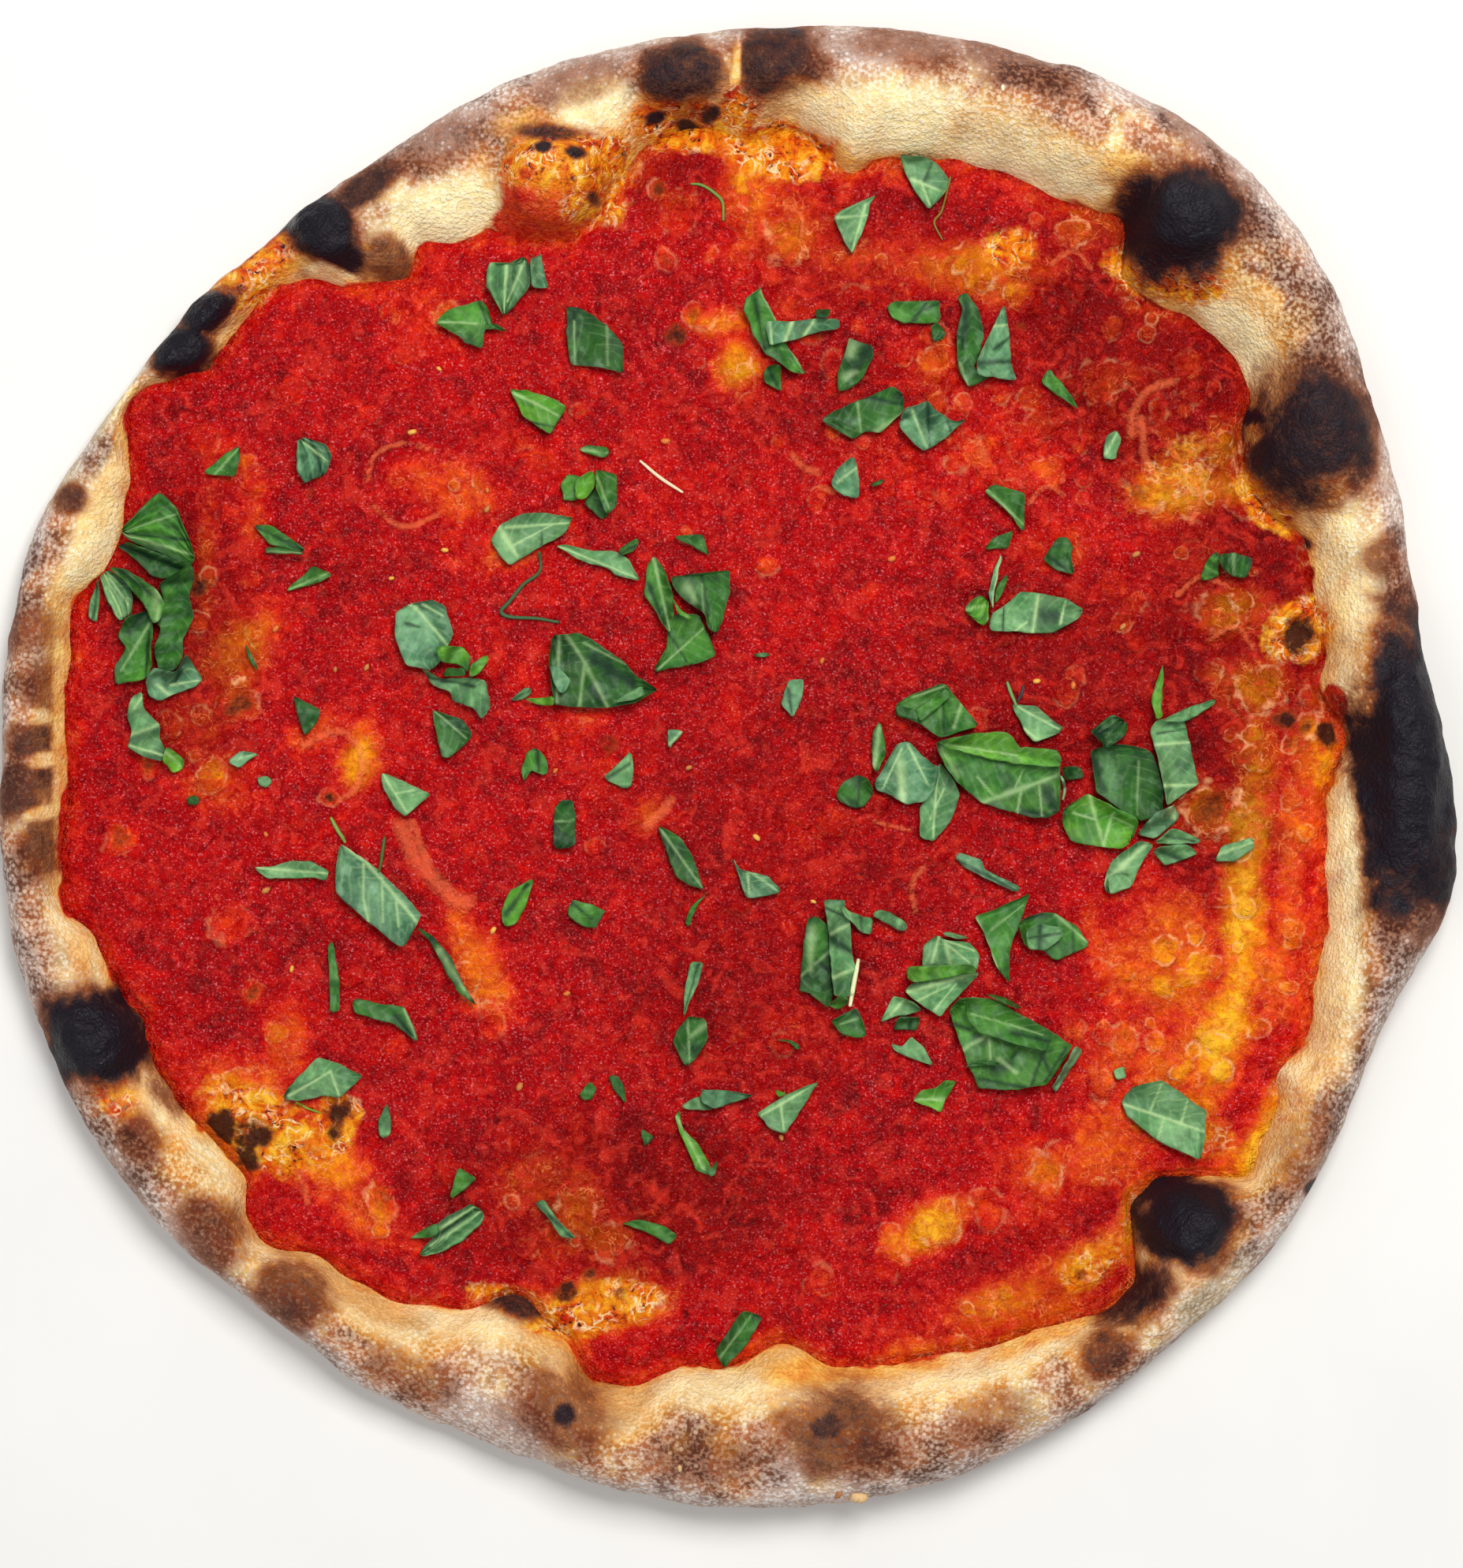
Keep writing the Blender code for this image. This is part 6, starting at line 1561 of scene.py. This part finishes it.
def total(tree, *terms):
    """The sum of links and (link, factor) pairs."""
    result = None
    for term in terms:
        if isinstance(term, tuple):
            term = calc(tree, "MULTIPLY", term[0], term[1])
        result = term if result is None else calc(tree, "ADD", result, term)
    return result


def sway(tree, value, amount):
    """A value about one half as a number about 0, times an amount."""
    return calc(tree, "MULTIPLY", calc(tree, "SUBTRACT", value, 0.5), amount)


def product(tree, *terms):
    """The product of links and numbers."""
    result = terms[0]
    for term in terms[1:]:
        result = calc(tree, "MULTIPLY", result, term)
    return result


def spread(tree, value, low, high, to_low=0.0, to_high=1.0):
    """Map a range of values to another, clamped. The range may run down."""
    node = add_node(tree, "ShaderNodeMapRange", in_1=low, in_2=high, in_3=to_low, in_4=to_high)
    tree.links.new(value, node.inputs[0])
    return node.outputs[0]


def peak(tree, value, place, width):
    """1 where the value is at a place, falling to 0 at a width from it."""
    return spread(tree, calc(tree, "ABSOLUTE", calc(tree, "SUBTRACT", value, place)), width, 0.0)


def rgba(colour):
    """Linear colour with alpha."""
    return (float(colour[0]), float(colour[1]), float(colour[2]), 1.0)


def blend(tree, factor, first, second, mode="MIX"):
    """Mix two colours. A colour is a link or a screen colour of 0 to 255."""
    node = add_node(tree, "ShaderNodeMix", data_type="RGBA", blend_type=mode)
    for index, value in ((0, factor), (6, first), (7, second)):
        if isinstance(value, (int, float)):
            node.inputs[index].default_value = value
        elif isinstance(value, tuple):
            node.inputs[index].default_value = rgba(linear(*value))
        else:
            tree.links.new(value, node.inputs[index])
    return node.outputs[2]


def colour_ramp(tree, value, stops):
    """A ramp of screen colours at places from 0 to 1."""
    node = add_node(tree, "ShaderNodeValToRGB")
    elements = node.color_ramp.elements
    while len(elements) < len(stops):
        elements.new(1.0)
    for element, (place, colour) in zip(elements, stops):
        element.position = place
        element.color = rgba(linear(*colour))
    tree.links.new(value, node.inputs[0])
    return node.outputs[0]


def shade(tree, colour, value, low, high):
    """Darken or lighten a colour by a value around one half."""
    factor = spread(tree, value, 0.3, 0.7, low, high)
    grey = add_node(tree, "ShaderNodeCombineColor")
    for index in range(3):
        tree.links.new(factor, grey.inputs[index])
    return blend(tree, 1.0, colour, grey.outputs[0], "MULTIPLY")


def add_bump(tree, shader, height, distance, strength):
    """Drive the shader's normal from a height in the range 0 to 1."""
    bump = add_node(tree, "ShaderNodeBump", in_Strength=strength, in_Distance=distance * MM)
    tree.links.new(height, bump.inputs["Height"])
    tree.links.new(bump.outputs["Normal"], shader.inputs["Normal"])


def finish_shader(tree, shader, colour, specular, rough=None):
    """Give the shader its colour and specular level, and its roughness if that varies."""
    tree.links.new(colour, shader.inputs["Base Color"])
    shader.inputs["Specular IOR Level"].default_value = specular
    if rough is not None:
        tree.links.new(rough, shader.inputs["Roughness"])


def gamma(tree, colour, power):
    """Deepen a colour (power above 1) or lighten it (below 1) without leaving its hue."""
    node = add_node(tree, "ShaderNodeGamma", in_Gamma=power)
    tree.links.new(colour, node.inputs[0])
    return node.outputs[0]


def threads(tree, size, swirl, width):
    """Thin winding lines, broken here and there, as a mask."""
    line = peak(tree, noise_value(tree, size, 1.5, 0.5, swirl), 0.5, width)
    return product(tree, line, spread(tree, noise_value(tree, 1.7 * size, 2.0), 0.42, 0.58))


def web_layer(tree, colour):
    """Lay the scorched webs over a colour: orange and yellow, pale threads, and char in some holes."""
    web = attribute(tree, "web")
    cloud = noise_value(tree, 4.0, 4.0, 0.65, 0.8)
    mottle = noise_value(tree, 1.3, 3.0, 0.6, 0.6)
    fire = shade(tree, colour_ramp(tree, cloud, WEB_RAMP), mottle, 0.8, 1.14)
    fire = blend(tree, product(tree, threads(tree, 3.2, 0.9, 0.05), 0.86), fire, WEB_THREAD)
    holes = product(tree, spread(tree, mottle, 0.45, 0.38), spread(tree, cloud, 0.52, 0.44))
    fire = blend(tree, product(tree, holes, spread(tree, web, 0.4, 0.8)), fire, WEB_CHAR)
    mask = spread(tree, total(tree, web, sway(tree, mottle, 0.7)), 0.25, 0.75)
    return blend(tree, product(tree, mask, spread(tree, web, 0.02, 0.2)), colour, fire)


def sauce_colour(tree, heat):
    """The sauce's colour from how oily it is, marbled and mottled at five sizes, with a painted wet sheen,
    painted glints, and partly painted shade in the deep zones.
    """
    wide = noise_value(tree, 10.0, 3.0, 0.6, 0.8)
    middle = noise_value(tree, 3.6, 4.0, 0.62, 1.0)
    fine = noise_value(tree, 1.5, 3.0, 0.6, 0.8)
    grain = noise_value(tree, 0.5, 2.0, 0.6)
    lumps = noise_value(tree, 6.5, 2.0, 0.5, 1.2)
    deep = attribute(tree, "deep")
    warm = total(tree, heat, sway(tree, wide, 0.55), sway(tree, middle, 0.8), sway(tree, fine, 0.35), 0.29)
    colour = colour_ramp(tree, calc(tree, "DIVIDE", warm, 1.6), SAUCE_RAMP)
    colour = shade(tree, colour, lumps, 0.88, 1.12)
    colour = shade(tree, colour, middle, 0.87, 1.16)
    colour = shade(tree, colour, fine, 0.88, 1.16)
    # The deep zones darker: partly a deeper red, partly painted shade.
    colour = blend(tree, deep, colour, DEEP_RED_AND_SHADE_TINT, "MULTIPLY")
    flesh = spread(tree, noise_value(tree, 4.8, 2.0, 0.5, 1.4), 0.53, 0.70, 0.0, 0.46)
    colour = blend(tree, flesh, colour, TOMATO_FLESH)
    # Painted sheen and glints are weaker where the deep zones paint shade.
    painted_sheen_share = spread(tree, deep, 0.0, 1.0, 1.0, 0.4)
    # Painted sheen: a pinkish veil in patches, standing for light reflected off the wet surface.
    film = spread(tree, noise_value(tree, 1.1, 3.0, 0.65, 0.5), 0.54, 0.74, 0.0, 0.28)
    colour = blend(tree, product(tree, film, painted_sheen_share), colour, PAINTED_WET_SHEEN)
    lines = product(tree, threads(tree, 3.0, 1.2, 0.03), spread(tree, warm, 0.42, 0.85, 0.0, 0.6))
    colour = blend(tree, lines, colour, OILY_LINE)
    colour = blend(tree, spread(tree, grain, 0.45, 0.30, 0.0, 0.2), colour, DARK_GRAIN)
    # Painted glints: tiny highlights on the grain's peaks, in clusters.
    glint = product(tree, spread(tree, grain, 0.58, 0.76), spread(tree, warm, 1.3, 0.4, 0.35, 1.0), painted_sheen_share,
                    spread(tree, middle, 0.40, 0.60, 0.32, 0.72))
    return blend(tree, glint, colour, PAINTED_WET_GLINT), grain, fine


def sauce_material():
    """Wet crushed tomato: fine grain with tiny painted glints and a painted wet sheen, thin-walled bubbles,
    oil and scorch.
    """
    material, tree, shader = new_material("wet_sauce", 0.3)
    cell = total(tree, attribute(tree, "cell"), sway(tree, noise_value(tree, 1.9, 3.0), 0.55))
    warmth = attribute(tree, "warmth")
    oil = attribute(tree, "oil")
    fill = product(tree, spread(tree, cell, 1.05, 0.55), warmth)
    colour, grain, fine = sauce_colour(tree, total(tree, oil, (fill, 0.85)))
    lit = spread(tree, total(tree, oil, warmth), 0.2, 1.0, 0.03, 0.66)
    broken = spread(tree, noise_value(tree, 3.4, 2.0, 0.5), 0.46, 0.60)
    colour = blend(tree, product(tree, peak(tree, cell, 0.82, 0.18), lit, broken), colour, BUBBLE_WALL)
    skin = spread(tree, total(tree, attribute(tree, "skin"), sway(tree, fine, 0.8)), 0.50, 0.80)
    skin = product(tree, skin, spread(tree, attribute(tree, "skin"), 0.05, 0.3))
    colour = blend(tree, product(tree, skin, 0.42), colour, TOMATO_SKIN)
    colour = web_layer(tree, colour)
    scorch = total(tree, attribute(tree, "scorch"), sway(tree, noise_value(tree, 1.6, 4.0, 0.7), 0.9))
    has_scorch = spread(tree, attribute(tree, "scorch"), 0.05, 0.3)
    for low, high, strength, tone in ((0.25, 0.6, 0.7, SCORCH_BROWN), (0.55, 0.8, 0.9, SCORCH_BLACK)):
        burnt = product(tree, spread(tree, scorch, low, high, 0.0, strength), has_scorch)
        colour = blend(tree, burnt, colour, tone)
    finish_shader(tree, shader, colour, 0.1, spread(tree, grain, 0.3, 0.7, 0.2, 0.38))
    shader.inputs["Specular Tint"].default_value = (1.0, 0.5, 0.46, 1.0)
    height = total(tree, (grain, 0.35), fine, (spread(tree, cell, 1.05, 0.75), 0.15), (skin, 0.3))
    add_bump(tree, shader, height, 1.0, 0.8)
    return material


def crust_material():
    """Baked dough: speckled with micro blisters, their tops painted lighter and the ground between darker,
    partly their own paler colour and partly painted light and shade; browned and charred, oily at the sauce.
    """
    material, tree, shader = new_material("baked_dough", 0.7)
    sauced = attribute(tree, "sauced")
    under = attribute(tree, "under")
    char = attribute(tree, "char")
    grain = noise_value(tree, 0.5, 2.0, 0.6)
    mottle = noise_value(tree, 0.95, 1.5, 0.5)
    blot = noise_value(tree, 2.8, 4.0, 0.62)
    cloud = noise_value(tree, 7.0, 4.0, 0.6)
    tone = shade(tree, attribute(tree, "tone", "Color"), cloud, 0.84, 1.14)
    # Specks are the tops of tiny lumps, which the bump raises too. They take a lighter copy of the tone and
    # the ground a darker copy: partly the blisters' own colour, partly painted highlight and painted shade.
    blotched = spread(tree, total(tree, mottle, sway(tree, blot, 0.3)), 0.42, 0.62, 0.0, 0.75)
    specks = calc(tree, "MAXIMUM", blotched, cell_dots(tree, 1.5, 0.46, 0.62))
    contrast = spread(tree, attribute(tree, "speckle"), 0.0, 1.0, 0.32, 1.0)
    level = total(tree, product(tree, calc(tree, "SUBTRACT", specks, 0.5), contrast), 0.5)
    colour = blend(tree, level, gamma(tree, tone, 1.65), gamma(tree, tone, 0.56))
    colour = shade(tree, colour, grain, 0.88, 1.1)
    stain = spread(tree, total(tree, attribute(tree, "stain"), sway(tree, blot, 0.8)), 0.25, 0.9)
    gold = shade(tree, colour_ramp(tree, cloud, OILED_DOUGH_RAMP), mottle, 0.85, 1.15)
    colour = blend(tree, product(tree, stain, 0.85), colour, gold)
    red = sauce_colour(tree, attribute(tree, "oil"))[0]
    reddened = spread(tree, total(tree, sauced, sway(tree, blot, 0.5)), 0.35, 0.7)
    colour = web_layer(tree, blend(tree, reddened, colour, red))
    ragged = total(tree, sway(tree, blot, 0.4), sway(tree, mottle, 0.35))
    depth = total(tree, char, product(tree, ragged, spread(tree, char, 0.02, 0.2)))
    colour = blend(tree, spread(tree, depth, 0.02, 0.46), colour, BROWNED_TINT, "MULTIPLY")
    for low, high, strength, tone in CHAR_TONES:
        colour = blend(tree, spread(tree, depth, low, high, 0.0, strength), colour, tone)
    flecks = product(tree, spread(tree, mottle, 0.56, 0.64), spread(tree, depth, 0.85, 0.45),
                     spread(tree, char, 0.1, 0.3), 0.42)
    colour = blend(tree, flecks, colour, CHAR_FLECK)
    scorch = product(tree, spread(tree, noise_value(tree, 16.0, 5.0, 0.65), 0.53, 0.66), under, 0.85)
    colour = blend(tree, scorch, colour, UNDER_SCORCH)
    flour = product(tree, spread(tree, noise_value(tree, 3.0, 4.0, 0.7), 0.52, 0.7), under, 0.6)
    colour = blend(tree, flour, colour, FLOUR)
    gloss = total(tree, (spread(tree, depth, 0.5, 0.9), 0.3), (stain, 0.3), (sauced, 0.2))
    rough = calc(tree, "SUBTRACT", spread(tree, grain, 0.3, 0.7, 0.72, 0.88), gloss)
    finish_shader(tree, shader, colour, 0.16, rough)
    add_bump(tree, shader, total(tree, (grain, 0.35), (specks, 0.4), (blot, 0.6)), 0.7, 0.7)
    return material


def basil_material():
    """Basil: a soft waxy green with a fine blistered skin."""
    material, tree, shader = new_material("basil", 0.45)
    fine = noise_value(tree, 0.7, 3.0, 0.6)
    colour = shade(tree, attribute(tree, "tone", "Color"), fine, 0.88, 1.1)
    finish_shader(tree, shader, colour, 0.22, spread(tree, fine, 0.3, 0.7, 0.42, 0.6))
    add_bump(tree, shader, fine, 0.2, 0.35)
    return material


def tone_material(name, roughness):
    """The small pieces: their own colours with a fine grain."""
    material, tree, shader = new_material(name, roughness)
    grain = noise_value(tree, 0.5, 2.0, 0.6)
    finish_shader(tree, shader, shade(tree, attribute(tree, "tone", "Color"), grain, 0.8, 1.15), 0.2)
    return material


def plain_material(name, colour, roughness):
    """A soft plain surface with a faint grain, for the floor."""
    material, tree, shader = new_material(name, roughness)
    pale = tuple(0.97 * value for value in colour)
    faint = blend(tree, noise_value(tree, 40.0, 2.0, 0.5), colour, pale)
    tree.links.new(faint, shader.inputs["Base Color"])
    return material


# ---------------------------------------------------------------- stage

CAMERA_HEIGHT = 900.0
FOCUS_HEIGHT = 10.0
SENSOR_WIDTH = 36.0
FLOOR_HALF = 3.0
FLOOR_GAP = 0.0002
FLOOR_COLOUR = (232, 231, 228)
SKY_COLOUR = (0.97, 0.98, 1.0, 1.0)
SKY_STRENGTH = 0.34

# Lights: name, place in metres, size, power and colour.
LIGHTS = (
    ("key", (0.24, 0.46, 1.0), 0.5, 12.6, (1.0, 0.985, 0.96)),
    ("fill", (-0.6, -0.4, 0.9), 0.9, 3.6, (0.97, 0.985, 1.0)),
)


def make_camera():
    """A camera straight above, framed as the photo is."""
    data = bpy.data.cameras.new("camera")
    camera = bpy.data.objects.new("camera", data)
    bpy.context.scene.collection.objects.link(camera)
    x = (PHOTO_WIDTH / 2 - CENTRE_PIXEL[0]) * MM_PER_PIXEL
    y = (CENTRE_PIXEL[1] - PHOTO_HEIGHT / 2) * MM_PER_PIXEL
    camera.location = (x * MM, y * MM, (CAMERA_HEIGHT + FOCUS_HEIGHT) * MM)
    data.sensor_width = SENSOR_WIDTH
    data.lens = data.sensor_width * CAMERA_HEIGHT / (PHOTO_HEIGHT * MM_PER_PIXEL)
    bpy.context.scene.camera = camera


def add_light(name, place, size, power, colour):
    """A soft square light that faces the pizza."""
    data = bpy.data.lights.new(name, "AREA")
    data.energy = power
    data.size = size
    data.color = colour
    light = bpy.data.objects.new(name, data)
    light.location = place
    direction = -light.location.copy()
    light.rotation_euler = direction.to_track_quat("-Z", "Y").to_euler()
    bpy.context.scene.collection.objects.link(light)


def make_stage():
    """Pale floor, soft lights and an even sky."""
    mesh = bpy.data.meshes.new("floor")
    corners = [(a * FLOOR_HALF, b * FLOOR_HALF, 0.0) for a, b in ((-1, -1), (1, -1), (1, 1), (-1, 1))]
    mesh.from_pydata(corners, [], [(0, 1, 2, 3)])
    mesh.materials.append(plain_material("floor", FLOOR_COLOUR, 0.85))
    floor = bpy.data.objects.new("floor", mesh)
    floor.location = (0.0, 0.0, -FLOOR_GAP)
    bpy.context.scene.collection.objects.link(floor)
    for light in LIGHTS:
        add_light(*light)
    world = bpy.data.worlds.new("sky")
    world.use_nodes = True
    background = world.node_tree.nodes["Background"]
    background.inputs[0].default_value = SKY_COLOUR
    background.inputs[1].default_value = SKY_STRENGTH
    bpy.context.scene.world = world
    bpy.context.scene.view_settings.view_transform = "Standard"


# ---------------------------------------------------------------- assembly

make_camera()
make_stage()

crust = make_crust()
crust.data.materials.append(crust_material())
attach(crust, "root")
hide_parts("crust")

sauce = make_sauce()
sauce.data.materials.append(sauce_material())
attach(sauce, "root")
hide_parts("tomato_sauce")

top_surface = SurfaceMap()
green = basil_material()
make_leaves(green, top_surface)
make_flakes(green, top_surface)
make_stems(green, top_surface)
make_seeds(tone_material("seeds", 0.45), top_surface)
make_crumbs(tone_material("crumbs", 0.75), top_surface)
